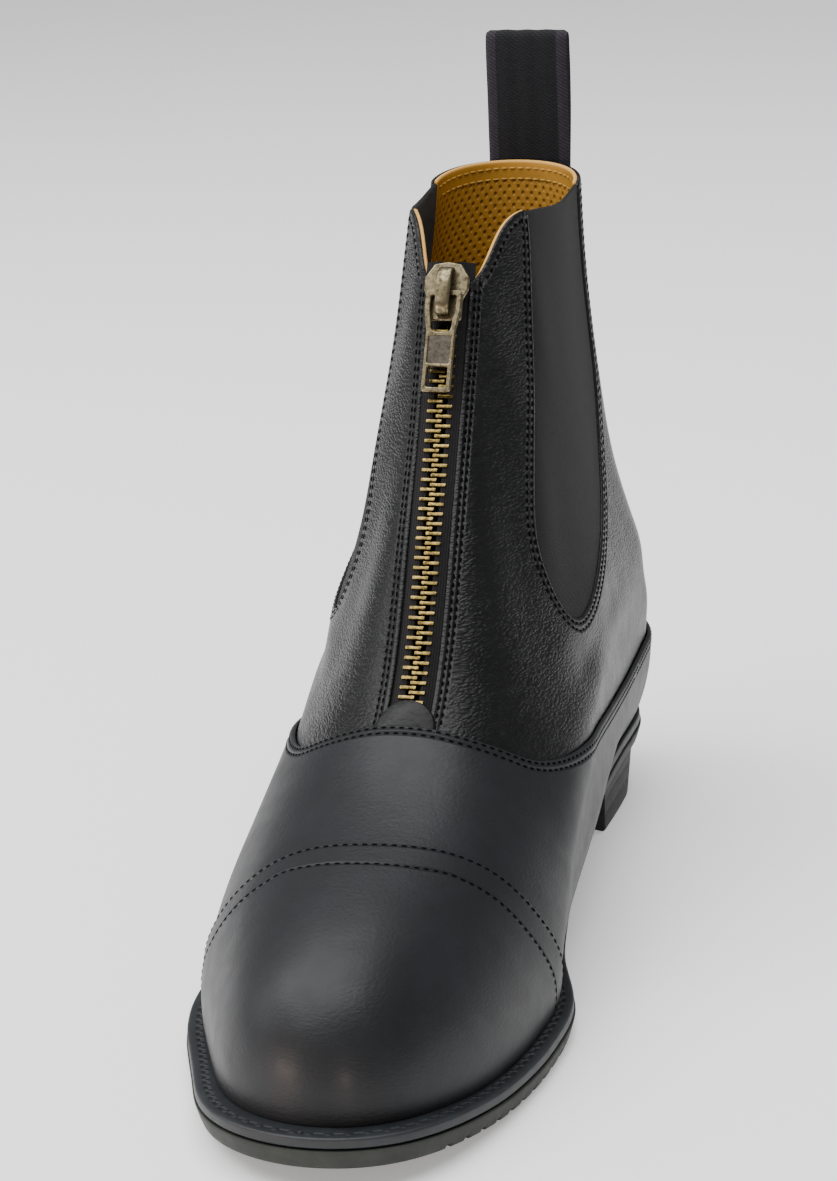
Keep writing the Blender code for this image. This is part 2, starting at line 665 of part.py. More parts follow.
def build_toe_cap(leather):
    """Toe cap laid over the front of the vamp."""
    low = 2 * GAP + VAMP_THICKNESS
    cap = shell("toe_cap", low, low + CAP_THICKNESS, CAP_RINGS, leather)
    line = side_curve(CAP_LINE, LENGTH, INSTEP_HEIGHT)
    keep = side_prism("keep_cap", line + [(line[-1][0], -MARGIN), (-MARGIN, -MARGIN),
                                          (-MARGIN, INSTEP_HEIGHT + MARGIN),
                                          (line[0][0], INSTEP_HEIGHT + MARGIN)],
                      skew=CAP_SKEW)
    boolean(cap, keep, "INTERSECT")
    return cap


def build_bottom(rubber, welt, heel_rubber, lining):
    """Outsole with tread grooves, midsole with its welt, insole and heel."""
    outsole = plate("outsole", outline(-EDGE_TAPER), SOLE_OUTLINE, sole_bottom,
                    lambda y: sole_bottom(y) + OUTSOLE_THICKNESS, rubber)
    boxes = []
    for y in np.arange(TREAD_START * LENGTH, TREAD_END * LENGTH, GROOVE_PITCH):
        height = float(sole_bottom(y)) + GROOVE_DEPTH
        for low, high in ((-BALL_WIDTH, edge_x(y, -1) + GROOVE_REACH),
                          (edge_x(y, 1) - GROOVE_REACH, BALL_WIDTH)):
            boxes.append(((low, y - GROOVE_WIDTH / 2, -MARGIN),
                          (high, y + GROOVE_WIDTH / 2, height)))
    boolean(outsole, box_cutter("cut_grooves", boxes), "DIFFERENCE")
    base = OUTSOLE_THICKNESS + GAP
    midsole = plate("midsole_welt", outline(-WELT_STEP), outline(-WELT_STEP),
                    lambda y: sole_bottom(y) + base,
                    lambda y: sole_bottom(y) + base + MIDSOLE_THICKNESS, welt)
    inside = loop_offset(FEATHER_LOOP, -(WALL + 3 * GAP))
    insole = plate("insole", inside, inside, feather,
                   lambda y: feather(y) + INSOLE_THICKNESS, lining)
    return [outsole, midsole, insole, build_heel(heel_rubber)]


def edge_x(along, side):
    """Sideways place of the sole's edge on one side."""
    loop = SOLE_OUTLINE[:SIDE_COLUMNS + 1] if side > 0 else \
        np.concatenate([SOLE_OUTLINE[:1], SOLE_OUTLINE[:SIDE_COLUMNS - 1:-1]])
    return float(np.interp(along, loop[:, 1], loop[:, 0]))


def build_heel(rubber):
    """Heel block under the seat, its hollowed front face sloping back to the floor."""
    rings = []
    for inset, slope in ((HEEL_INSET + HEEL_TAPER, HEEL_SLOPE), (HEEL_INSET, 0.0)):
        breast = LENGTH - HEEL_LENGTH + slope
        loop = outline(-inset)
        rear = loop[loop[:, 1] > LENGTH - HEEL_LENGTH + HEEL_CORNER]
        order = np.argsort(np.arctan2(rear[:, 0], rear[:, 1] - (LENGTH - HEEL_LENGTH / 2)))
        rear = rear[order]
        rear[:, 1] = np.maximum(rear[:, 1], breast + BREAST_LIP)
        left, right = rear[0], rear[-1]
        front = [(right[0] + (left[0] - right[0]) * t,
                  breast + HEEL_HOLLOW * math.sin(math.pi * t))
                 for t in np.linspace(0, 1, ARC_STEPS + 1)]
        rings.append([tuple(p) for p in rear] + front)
    low = [(x, y, 0.0) for x, y in rings[0]]
    high = [(x, y, heel_top(y)) for x, y in rings[1]]
    vertices, faces = capped([low, high])
    return finish("heel", vertices, faces, rubber)


def heel_top(along):
    """Height of the heel block's top, a gap under the outsole."""
    return float(sole_bottom(along)) - GAP


def build_back_strip(leather):
    """Strip of leather up the back seam."""
    strip = shell("back_strip", GAP, GAP + STRIP_THICKNESS, STRIP_RINGS, leather)
    low = VAMP_LINE[-1][1] * INSTEP_HEIGHT + STRIP_MARGIN
    high = COLLAR_HEIGHT - TONGUE_LENGTH - STRIP_MARGIN
    keep = box_cutter("keep_strip", [((-STRIP_WIDTH / 2, 0.8 * LENGTH, low),
                                      (STRIP_WIDTH / 2, LENGTH + MARGIN, high))])
    boolean(strip, keep, "INTERSECT")
    return strip


def build_zip_tapes(fabric):
    """The two tapes beside the chain, each up to the leather's edge."""
    top, made = -TAPE_RECESS, []
    inner, outer = CHAIN_WIDTH / 2 + GAP, SLOT_WIDTH / 2 - GAP
    for name, side in (("zip_tape_medial", 1), ("zip_tape_lateral", -1)):
        low, high = sorted((side * inner, side * outer))
        made.append(zip_strip(name, low, high, top - TAPE_THICKNESS, top,
                              ZIP_START + GAP, SLIDER_FOOT + 0.4 * SLIDER_LENGTH,
                              fabric))
    return made


def build_zip_chain(metal):
    """Chain of teeth that reach in turn from the two sides."""
    bottom = -TAPE_RECESS - TAPE_THICKNESS / 2 - CHAIN_THICKNESS / 2
    top = bottom + CHAIN_THICKNESS
    length = SLIDER_FOOT - GAP - ZIP_START - 2 * GAP
    count = int(length / TOOTH_PITCH)
    half = CHAIN_WIDTH / 2
    waist = TOOTH_REACH - half
    loops = []
    for i in range(count):
        for side, offset in ((1, 0.0), (-1, 0.5)):
            middle = ZIP_START + GAP + (i + 0.5 + offset) * TOOTH_PITCH
            left, right = (-waist, half) if side > 0 else (-half, waist)
            for place in (middle - TOOTH_LENGTH / 2, middle + TOOTH_LENGTH / 2):
                loops.append([zip_point(place, left, bottom), zip_point(place, right, bottom),
                              zip_point(place, right, top), zip_point(place, left, top)])
    vertices, faces = capped(loops)
    return finish("zip_chain", vertices, faces, metal)


def local_loop(name, points, low, high, made, axis_length, lift):
    """Plate drawn in the zip's own plane at a place, from low to high above it."""
    origin, normal, direction = zip_frame(axis_length)
    base = origin + normal * lift
    loops = [[base + np.array([x, 0, 0]) + direction * v + normal * h for x, v in points]
             for h in (low, high)]
    vertices, faces = capped(loops)
    return finish(name, vertices, faces, made)


def build_slider(metal):
    """Slider body: front and back plates, the post between them and the bridge."""
    middle = (SLIDER_TOP + SLIDER_FOOT) / 2
    half = SLIDER_LENGTH / 2
    points = [(side * (SLIDER_FOOT_WIDTH if up < 0 else SLIDER_TOP_WIDTH) / 2, up * half)
              for side, up in SLIDER_PLAN]
    points += [(-side, up) for side, up in points[::-1]]
    low = -TAPE_RECESS - TAPE_THICKNESS / 2
    clear = CHAIN_THICKNESS / 2 + 2 * GAP
    body = local_loop("zip_slider", points, clear, clear + PLATE_THICKNESS, metal, middle, low)
    back = local_loop("join_back", points, -clear - PLATE_THICKNESS, -clear, None, middle, low)
    foot, top = POST_FOOT_WIDTH / 2, POST_TOP_WIDTH / 2
    high = POST_TOP * half
    post = local_loop("join_post", [(-foot, 0.0), (foot, 0.0), (top, high), (-top, high)],
                      -clear - PLATE_THICKNESS / 2, clear + PLATE_THICKNESS / 2, None, middle, low)
    boolean(body, back, "UNION")
    boolean(body, post, "UNION")
    boolean(body, bridge_solid(low + clear + PLATE_THICKNESS), "UNION")
    return body


def bridge_solid(floor):
    """Arch over the tab's bar, drawn in the zip's middle plane."""
    origin, normal, direction = zip_frame(TAB_AXIS)
    rise = BAR_THICKNESS + 3 * GAP
    outer = [(-BRIDGE_BELOW, -SINK), (-BRIDGE_BELOW, rise * 0.55),
             (-BRIDGE_BELOW * 0.62, rise + BRIDGE_THICKNESS),
             (BRIDGE_ABOVE * 0.55, rise + BRIDGE_THICKNESS), (BRIDGE_ABOVE, rise * 0.75),
             (BRIDGE_ABOVE, -SINK)]
    inner = [(BRIDGE_ABOVE - BRIDGE_THICKNESS * 2.2, -SINK),
             (BRIDGE_ABOVE - BRIDGE_THICKNESS * 2.6, rise),
             (-BRIDGE_BELOW + BRIDGE_THICKNESS * 2.6, rise),
             (-BRIDGE_BELOW + BRIDGE_THICKNESS * 2.2, -SINK)]
    loops = []
    for x in (-BRIDGE_WIDTH / 2, BRIDGE_WIDTH / 2):
        loops.append([origin + np.array([x, 0, 0]) + direction * v + normal * (floor + h)
                      for v, h in outer + inner])
    vertices, faces = capped(loops)
    return finish("join_bridge", vertices, faces, None)


def build_tab(metal):
    """Pull tab: shoulders round the bridge, a bare plate and a window at the foot."""
    origin, normal, direction = zip_frame(TAB_AXIS)
    clear = CHAIN_THICKNESS / 2 + 2 * GAP + PLATE_THICKNESS - TAPE_RECESS - TAPE_THICKNESS / 2
    lift = clear + GAP + BAR_THICKNESS / 2
    axis = origin + normal * lift
    top, foot = TAB_TOP_WIDTH / 2, TAB_FOOT_WIDTH / 2
    half = TAB_THICKNESS / 2
    head = BAR_THICKNESS / 2
    tail = head - TAB_LENGTH
    corner = TAB_CORNER
    right = [(top - corner, head), (top, head - corner), (top, -TAB_SHOULDER),
             (foot, -TAB_WAIST), (foot, tail + corner), (foot - corner, tail)]
    outer = right + [(-x, v) for x, v in right[::-1]]
    side = foot - TAB_RAIL * 0.8
    windows = [((TAB_RAIL - top, -TAB_WINDOW), (top - TAB_RAIL, -BAR_THICKNESS / 2)),
               ((-side, tail + TAB_LIP), (side, tail + TAB_LIP + TAB_FOOT_WINDOW))]

    def place(x, v, h):
        return np.array([x, 0, 0]) + direction * v + normal * h

    tab = finish("zip_pull", *capped([[place(x, v, h) - SHIFT for x, v in outer]
                                      for h in (-half, half)]), metal)
    cutters = []
    for (left, low), (right, high) in windows:
        ring = [(left, low), (right, low), (right, high), (left, high)]
        cutters.append([[place(x, v, h) - SHIFT for x, v in ring]
                        for h in (-CUT_REACH, CUT_REACH)])
    vertices, faces = [], []
    for loops in cutters:
        some, sides = capped(loops)
        faces += [tuple(i + len(vertices) for i in side) for side in sides]
        vertices += some
    cutter = finish("cut_tab", vertices, faces, None)
    boolean(tab, cutter, "DIFFERENCE")
    for obj in (tab, cutter):
        obj.location = tuple(axis + SHIFT)
    return tab


def build_zip_piece(leather):
    """Small rounded leather piece over the foot of the zip, against the vamp's edge."""
    piece = shell("zip_foot_piece", PIECE_LIFT, PIECE_LIFT + PIECE_THICKNESS, PIECE_RINGS,
                  leather)
    half = PIECE_WIDTH / 2
    shoulder = -PIECE_SHOULDER * PIECE_LENGTH
    rows = [(-half, -PIECE_LENGTH), (half, -PIECE_LENGTH), (half, shoulder)]
    for turn in np.linspace(0, math.pi, ARC_STEPS + 1):
        rows.append((PIECE_NECK * half * math.cos(turn),
                     PIECE_ROUND * PIECE_LENGTH * math.sin(turn)))
    rows.append((-half, shoulder))
    origin, normal, direction = zip_frame(ZIP_START)
    loops = [[origin + normal * lift + direction * v + np.array([x, 0, 0]) for x, v in rows]
             for lift in (-CUT_REACH, CUT_REACH)]
    vertices, faces = capped(loops)
    boolean(piece, finish("keep_piece", vertices, faces, None), "INTERSECT")
    boolean(piece, vamp_region("trim_piece", GAP), "DIFFERENCE")
    return piece


def build_pull_loop(webbing):
    """Folded webbing loop that stands above the collar, with a tongue sewn outside it."""
    seat = COLLAR_HEIGHT
    back = float(np.interp(seat, BACK[:, 1], BACK[:, 0]))
    t = WEBBING_THICKNESS
    face = back + GAP
    radius = LOOP_DEPTH / 2
    front = face + 2 * t - 2 * radius
    turns = np.linspace(0, math.pi, ARC_STEPS + 1)
    outer, inner = [[(face + 2 * t - radius + bend * math.cos(turn),
                      seat + LOOP_RISE - radius + bend * math.sin(turn)) for turn in turns]
                    for bend in (radius, radius - t)]
    low = seat - TONGUE_LENGTH
    foot = float(np.interp(low, BACK[:, 1], BACK[:, 0])) + GAP
    outline_points = [(foot + 2 * t, low), (face + 2 * t, seat + LOOP_JOIN)] + outer
    outline_points += [(front, seat + STRAND_HIGH), (face, seat + STRAND_LOW), (face, seat),
                       (foot, low)]
    hole = [(face + t, seat + LOOP_SLIT)] + inner + [(front + t, seat + STRAND_HIGH)]
    loop = side_prism("pull_loop", outline_points, LOOP_SHIFT - WEBBING_WIDTH / 2,
                      LOOP_SHIFT + WEBBING_WIDTH / 2)
    loop.data.materials.append(webbing)
    cutter = side_prism("cut_loop", hole, -WEBBING_WIDTH, WEBBING_WIDTH)
    boolean(loop, cutter, "DIFFERENCE")
    return loop


def build():
    """Make every piece of the boot."""
    for old in list(bpy.data.objects):
        bpy.data.objects.remove(old, do_unlink=True)
    quarter = material("quarter_leather", (0.018, 0.019, 0.021), 0.45)
    smooth = material("vamp_leather", (0.014, 0.015, 0.017), 0.32)
    cap = material("cap_leather", (0.012, 0.013, 0.015), 0.28)
    elastic = material("elastic", (0.013, 0.014, 0.016), 0.85)
    fabric = material("zip_tape", (0.012, 0.011, 0.012), 0.9)
    webbing = material("webbing", (0.010, 0.010, 0.013), 0.85)
    lining = material("insole_leather", (0.35, 0.17, 0.035), 0.7)
    rubber = material("outsole_rubber", (0.050, 0.055, 0.052), 0.75)
    welt = material("welt_rubber", (0.020, 0.024, 0.028), 0.6)
    heel_rubber = material("heel_rubber", (0.025, 0.026, 0.026), 0.6)
    brass = material("antique_brass", (0.25, 0.20, 0.12), 0.35, 1.0)
    slider_brass = material("slider_brass", (0.28, 0.24, 0.16), 0.32, 1.0)
    tab_brass = material("tab_brass", (0.28, 0.23, 0.14), 0.30, 1.0)
    build_upper(quarter)
    build_vamp(smooth)
    build_toe_cap(cap)
    build_back_strip(smooth)
    build_gores(elastic)
    build_bottom(rubber, welt, heel_rubber, lining)
    build_zip_tapes(fabric)
    build_zip_chain(brass)
    build_slider(slider_brass)
    build_tab(tab_brass)
    build_zip_piece(quarter)
    build_pull_loop(webbing)


build()
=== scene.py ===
"""Photographic look of a black leather zip paddock boot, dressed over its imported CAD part.

World frame: metres, +Z up, the toe towards -Y, the medial (inner) side towards +X. The leather
pieces are dense skins cut from one form, the last, whose tables are the ones in the part's source.
"""
import logging
import math
from dataclasses import dataclass, field
from enum import Enum
from typing import Callable, Iterable, Optional, Sequence

import bpy
import numpy as np
from mathutils import Matrix, Vector


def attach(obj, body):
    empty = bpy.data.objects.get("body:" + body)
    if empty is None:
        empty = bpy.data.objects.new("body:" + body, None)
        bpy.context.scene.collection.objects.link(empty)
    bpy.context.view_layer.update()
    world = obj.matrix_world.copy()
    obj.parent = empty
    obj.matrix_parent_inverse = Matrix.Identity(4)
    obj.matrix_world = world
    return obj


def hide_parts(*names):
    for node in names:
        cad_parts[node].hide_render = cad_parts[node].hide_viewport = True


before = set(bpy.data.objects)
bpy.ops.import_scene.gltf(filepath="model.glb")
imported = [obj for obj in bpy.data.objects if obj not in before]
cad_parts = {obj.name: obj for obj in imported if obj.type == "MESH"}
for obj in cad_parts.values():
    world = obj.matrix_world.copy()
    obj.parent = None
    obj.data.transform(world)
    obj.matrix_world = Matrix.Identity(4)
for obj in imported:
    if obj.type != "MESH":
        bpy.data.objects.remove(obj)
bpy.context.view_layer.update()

BODY = "boot"
TAB_BODY = "pull_tab"
LOG = logging.getLogger("boot")
Table = tuple[tuple[float, ...], ...]


class Side(Enum):
    """The two sides of the boot, by the sign of X."""

    MEDIAL = 1
    LATERAL = -1


# Curves and the last


def natural(xs: Sequence[float], ys: Sequence[float]) -> Callable[[np.ndarray], np.ndarray]:
    """Natural cubic spline through points.

    Args:
        xs: Increasing places.
        ys: Values there.

    Returns:
        A function that gives the value at any place within the range.
    """
    xs, ys = np.asarray(xs, float), np.asarray(ys, float)
    count, step = len(xs), np.diff(xs)
    matrix, side = np.zeros((count, count)), np.zeros(count)
    matrix[0, 0] = matrix[-1, -1] = 1
    for i in range(1, count - 1):
        matrix[i, i - 1:i + 2] = step[i - 1], 2 * (step[i - 1] + step[i]), step[i]
        side[i] = 6 * ((ys[i + 1] - ys[i]) / step[i] - (ys[i] - ys[i - 1]) / step[i - 1])
    bend = np.linalg.solve(matrix, side)

    def curve(x: np.ndarray) -> np.ndarray:
        """Value of the spline at x.

        Args:
            x: Places.

        Returns:
            Values there.
        """
        x = np.clip(np.asarray(x, float), xs[0], xs[-1])
        i = np.clip(np.searchsorted(xs, x, side="right") - 1, 0, count - 2)
        a, b, h = xs[i + 1] - x, x - xs[i], step[i]
        return (bend[i] * a ** 3 / (6 * h) + bend[i + 1] * b ** 3 / (6 * h)
                + (ys[i] / h - bend[i] * h / 6) * a + (ys[i + 1] / h - bend[i + 1] * h / 6) * b)
    return curve


def monotone(rows: Table, column: int = 1) -> Callable[[np.ndarray], np.ndarray]:
    """Smooth curve through a table that keeps its flats flat.

    Args:
        rows: Table with the place in its first column.
        column: Column that holds the value.

    Returns:
        A function that gives the value at any place.
    """
    xs = np.array([row[0] for row in rows], float)
    ys = np.array([row[column] for row in rows], float)
    step = np.diff(xs)
    slope = np.diff(ys) / step
    tangent = np.zeros(len(xs))
    tangent[0], tangent[-1] = slope[0], slope[-1]
    for i in range(1, len(xs) - 1):
        if slope[i - 1] * slope[i] > 0:
            before, after = 2 * step[i] + step[i - 1], step[i] + 2 * step[i - 1]
            tangent[i] = (before + after) / (before / slope[i - 1] + after / slope[i])

    def curve(x: np.ndarray) -> np.ndarray:
        """Value of the curve at x.

        Args:
            x: Places.

        Returns:
            Values there.
        """
        x = np.clip(np.asarray(x, float), xs[0], xs[-1])
        i = np.clip(np.searchsorted(xs, x, side="right") - 1, 0, len(step) - 1)
        t = (x - xs[i]) / step[i]
        return (ys[i] * (1 + 2 * t) * (1 - t) ** 2 + step[i] * tangent[i] * t * (1 - t) ** 2
                + ys[i + 1] * t * t * (3 - 2 * t) + step[i] * tangent[i + 1] * t * t * (t - 1))
    return curve


def path(points: Iterable[Sequence[float]], samples: int = 400) -> tuple[np.ndarray, np.ndarray]:
    """Evenly spaced points along a smooth curve through the given ones.

    Args:
        points: Points to pass through.
        samples: Number of points wanted.

    Returns:
        The lengths along the curve and the points.
    """
    points = np.array(list(points), float)
    chord = np.concatenate([[0], np.cumsum(np.linalg.norm(np.diff(points, axis=0), axis=1))])
    fine = np.linspace(0, chord[-1], samples)
    dense = np.stack([natural(chord, column)(fine) for column in points.T], 1)
    length = np.concatenate([[0], np.cumsum(np.linalg.norm(np.diff(dense, axis=0), axis=1))])
    even = np.linspace(0, length[-1], samples)
    return even, np.stack([np.interp(even, length, column) for column in dense.T], 1)


def smoothstep(x: np.ndarray, low: float, high: float) -> np.ndarray:
    """Zero below low, one above high, smooth between."""
    t = np.clip((np.asarray(x, float) - low) / (high - low), 0, 1)
    return t * t * (3 - 2 * t)


def rounded(distance: np.ndarray, radius: np.ndarray, power: np.ndarray) -> np.ndarray:
    """Share of full width reached at a distance in from a rounded edge."""
    t = 1 - np.clip(distance / radius, 0, 1)
    return (1 - t * t) ** (1 / power)


@dataclass(frozen=True)
class Sizes:
    """Driving sizes, the same as the part's, in metres."""

    length: float = 0.268
    ball_width: float = 0.082
    instep_height: float = 0.0703
    zip_foot: float = 0.106
    collar_height: float = 0.1715
    collar_front: float = 0.1747
    collar_front_height: float = 0.1625
    collar_width: float = 0.0400
    toe_swing: float = 0.0095
    toe_swing_length: float = 0.078
    instep_shift: float = 0.0045
    shaft_shift: float = 0.0007
    heel_height: float = 0.0160
    toe_spring: float = 0.0065
    outsole: float = 0.0046
    midsole: float = 0.0025
    gap: float = 0.0003
    wall: float = 0.0020
    toe_margin: float = 0.0095
    ball_margin: float = 0.0063
    waist_margin: float = 0.0032
    heel_margin: float = 0.0030
    shift: tuple[float, float] = (-0.002324, -0.133732)


@dataclass(frozen=True)
class Tables:
    """Sections of the last and its side view lines, as shares of the sizes."""

    toe: Table = ((0.00, 1.00), (0.05, 0.70), (0.10, 0.40), (0.15, 0.17), (0.20, 0.04),
                  (0.24, 0.00))
    shank: Table = ((0.40, 0.00), (0.46, 0.10), (0.55, 0.36), (0.62, 0.60), (0.68, 0.79),
                    (0.74, 0.93), (0.80, 1.00))
    ridge: Table = ((0.000, 0.000), (0.006, 0.100), (0.030, 0.235), (0.095, 0.377),
                    (0.228, 0.516), (0.416, 0.622), (0.625, 0.706), (0.833, 0.826),
                    (1.000, 1.000))
    front: Table = ((0.180, 0.139), (0.415, 0.352), (0.656, 0.573), (0.873, 0.826),
                    (1.000, 1.000), (1.077, 1.119))
    back: Table = ((0.0020, 0.000), (-0.0020, 0.081), (-0.0010, 0.176), (0.0190, 0.325),
                   (0.0440, 0.461), (0.0545, 0.597), (0.0520, 0.753), (0.0440, 0.888),
                   (0.0355, 1.000), (0.0305, 1.058))
    plan: Table = ((0.00, 0.440, 0.440), (0.09, 0.435, 0.370), (0.14, 0.455, 0.360),
                   (0.20, 0.478, 0.390), (0.26, 0.508, 0.440), (0.31, 0.520, 0.462),
                   (0.37, 0.500, 0.462), (0.45, 0.478, 0.440), (0.55, 0.468, 0.412),
                   (0.68, 0.442, 0.395), (0.82, 0.425, 0.398), (1.00, 0.410, 0.390))
    tuck: Table = ((0.00, 0.015), (0.20, 0.015), (0.32, 0.022), (0.45, 0.080), (0.58, 0.100),
                   (0.72, 0.080), (0.85, 0.055), (1.00, 0.045))
    shaft: Table = ((0.10, 0.880), (0.233, 0.912), (0.32, 0.920), (0.385, 0.895),
                    (0.45, 0.850), (0.51, 0.792), (0.583, 0.726), (0.67, 0.668),
                    (0.758, 0.608), (0.875, 0.540), (1.00, 0.500), (1.06, 0.490))
    collar: Table = ((0.560, 0.8600), (0.640, 0.9080), (0.672, 0.9520), (0.702, 0.9900),
                     (0.735, 0.9960), (0.800, 0.9860), (0.870, 0.9900), (0.920, 1.0000),
                     (1.000, 1.0080))
    vamp: Table = ((-0.0356, 1.100), (-0.0273, 0.958), (-0.0124, 0.903), (0.0091, 0.853),
                   (0.0339, 0.806), (0.0736, 0.772), (0.1298, 0.752), (0.2225, 0.738),
                   (0.3714, 0.700), (0.5368, 0.660), (0.7519, 0.660), (1.0331, 0.700))
    cap: Table = ((0.228, 0.830), (0.238, 0.747), (0.250, 0.697), (0.257, 0.650),
                  (0.263, 0.590), (0.270, 0.500), (0.281, 0.384), (0.291, 0.280),
                  (0.302, 0.050))
    gore: Table = ((0.734, 1.080), (0.726, 0.980), (0.706, 0.886), (0.670, 0.765),
                   (0.634, 0.680), (0.604, 0.610), (0.584, 0.555), (0.577, 0.510),
                   (0.580, 0.466), (0.592, 0.444), (0.615, 0.440), (0.672, 0.464),
                   (0.731, 0.504), (0.780, 0.560), (0.817, 0.641), (0.843, 0.729),
                   (0.862, 0.845), (0.880, 0.985), (0.886, 1.080))


@dataclass
class Last:
    """The form of the boot, as functions of the distance back from the toe and the height."""

    size: Sizes = field(default_factory=Sizes)
    table: Tables = field(default_factory=Tables)
    toe_round: float = 0.205
    medial_round: float = 0.54
    lateral_round: float = 0.64
    front_rise: float = 1.30
    heel_round: float = 0.125
    collar_round: float = 0.070
    tuck_height: float = 0.019
    cap_skew: float = 0.185
    shaft_blend_up: tuple[float, float] = (0.05, 0.34)
    shaft_blend_along: tuple[float, float] = (0.32, 0.60)
    lean_along: tuple[float, float] = (0.26, 0.46)
    medial_fullness: float = 2.25
    lateral_fullness: float = 1.95
    shaft_fullness: float = 2.20

    def __post_init__(self) -> None:
        """Work out the lines that the rest reads."""
        s, t = self.size, self.table
        self.seat = s.heel_height + s.gap
        self.stack = s.outsole + s.midsole + 2 * s.gap
        self.toe_curve, self.shank_curve = monotone(t.toe), monotone(t.shank)
        self.tuck_curve = monotone(t.tuck)
        self.toe_start, self.heel_end = s.toe_margin, s.length - s.heel_margin
        places = [row[0] for row in t.plan]
        self.plan = {Side.MEDIAL: natural(places, [row[1] for row in t.plan]),
                     Side.LATERAL: natural(places, [row[2] for row in t.plan])}
        self.shaft = natural([row[0] for row in t.shaft], [row[1] for row in t.shaft])
        rise = s.instep_height - float(self.feather(s.zip_foot))
        rows = []
        for along, up in t.ridge:
            back = self.toe_start + along * (s.zip_foot - self.toe_start)
            rows.append((back, float(self.feather(back)) + up * rise))
        for along, up in t.front:
            rows.append((s.zip_foot + along * (s.collar_front - s.zip_foot),
                         s.instep_height + up * (s.collar_front_height - s.instep_height)))
        self.ridge_lengths, self.ridge = path(rows)
        seat = float(self.feather(self.heel_end))
        self.back_lengths, self.back = path(
            [(self.heel_end - inset * s.length, seat + up * (s.collar_height - seat))
             for inset, up in t.back])

    def sole_bottom(self, along: np.ndarray) -> np.ndarray:
        """Height of the outsole's underside."""
        share = np.asarray(along, float) / self.size.length
        return self.size.toe_spring * self.toe_curve(share) + self.seat * self.shank_curve(share)

    def feather(self, along: np.ndarray) -> np.ndarray:
        """Height of the line where the upper meets the welt."""
        return self.sole_bottom(along) + self.stack

    def ridge_height(self, along: np.ndarray) -> np.ndarray:
        """Height of the top line, carried on straight past its end.

        Args:
            along: Distances back from the toe.

        Returns:
            Heights.
        """
        end, near = self.ridge[-1], self.ridge[-20]
        slope = (end[1] - near[1]) / (end[0] - near[0])
        inside = np.interp(along, self.ridge[:, 0], self.ridge[:, 1])
        return inside + np.maximum(np.asarray(along) - end[0], 0) * slope

    def centre(self, along: np.ndarray, up: np.ndarray) -> np.ndarray:
        """Sideways place of the middle line.

        Args:
            along: Distances back from the toe.
            up: Heights.

        Returns:
            Sideways places.
        """
        s = self.size
        along, up = np.asarray(along, float), np.asarray(up, float)
        swing = s.toe_swing * np.clip(1 - along / s.toe_swing_length, 0, 1) ** 2
        hump = np.exp(-((along - s.zip_foot) / (0.2 * s.length)) ** 2)
        instep = s.instep_shift * hump * smoothstep(up, 0.3 * s.instep_height, s.instep_height)
        return swing + instep - s.shaft_shift * smoothstep(up, s.instep_height,
                                                           0.7 * s.collar_height)

    def half_width(self, side: Side, along: np.ndarray, up: np.ndarray) -> np.ndarray:
        """Half width on one side.

        Args:
            side: Medial or lateral.
            along: Distances back from the toe.
            up: Heights.

        Returns:
            Half widths, zero on the ridge and the back line.
        """
        s = self.size
        along, up = np.asarray(along, float), np.asarray(up, float)
        plan = self.plan[side](along / s.length) * s.ball_width
        above = up - self.feather(along)
        tuck = s.ball_width * self.tuck_curve(along / s.length)
        plan = plan - tuck * np.clip(1 - above / self.tuck_height, 0, 1) ** 2
        plan = plan * rounded(along - self.toe_start, self.toe_round * s.length, 2.0)
        shaft = self.shaft(up / s.collar_height) * s.collar_width
        blend = [smoothstep(place, low * whole, high * whole) for place, whole, (low, high) in (
            (above, s.collar_height, self.shaft_blend_up),
            (along, s.length, self.shaft_blend_along), (along, s.length, self.lean_along))]
        slab = plan + (shaft - plan) * blend[0] * blend[1]
        lean = blend[2]
        front = np.interp(up, self.ridge[:, 1], self.ridge[:, 0])
        rear = np.interp(up, self.back[:, 1], self.back[:, 0])
        drop = np.maximum(self.ridge_height(along) - up, 0)
        depth = np.maximum(along - front, 1e-9)
        inward = drop / np.sqrt(1 + lean * (drop / depth) ** 2)
        section = np.maximum(self.ridge_height(along) - self.feather(along), 1e-6)
        share = self.medial_round if side is Side.MEDIAL else self.lateral_round
        broad = ((share * (rear - front)) ** -4
                 + (self.front_rise * np.maximum(above, 0.001)) ** -4) ** -0.25
        radius = section + (broad - section) * lean
        fullness = self.medial_fullness if side is Side.MEDIAL else self.lateral_fullness
        fullness = fullness + (self.shaft_fullness - fullness) * lean
        rise = smoothstep(up, 0.3 * s.collar_height, s.collar_height)
        back_radius = s.length * (self.heel_round + (self.collar_round - self.heel_round) * rise)
        return slab * rounded(inward, radius, fullness) * rounded(rear - along, back_radius, 2.0)

    def world(self, points: np.ndarray) -> np.ndarray:
        """Points of the last moved into the part's own frame."""
        return np.asarray(points, float) + np.array([*self.size.shift, 0.0])

    def zip_frame(self, length: float) -> tuple[np.ndarray, np.ndarray, np.ndarray]:
        """Point on the ridge at a length along it, its outward normal and its direction.

        Args:
            length: Length up the ridge.

        Returns:
            The point, the normal and the direction.
        """
        place = [np.array([np.interp(length + d, self.ridge_lengths, c) for c in self.ridge.T])
                 for d in (-0.001, 0.0, 0.001)]
        direction = (place[2] - place[0]) / np.linalg.norm(place[2] - place[0])
        x = float(self.centre(*place[1]))
        return (np.array([x, *place[1]]), np.array([0.0, -direction[1], direction[0]]),
                np.array([0.0, *direction]))

    def ridge_length(self, along: float) -> float:
        """Length up the ridge at a distance back from the toe."""
        return float(np.interp(along, self.ridge[:, 0], self.ridge_lengths))


# Skins cut from the last


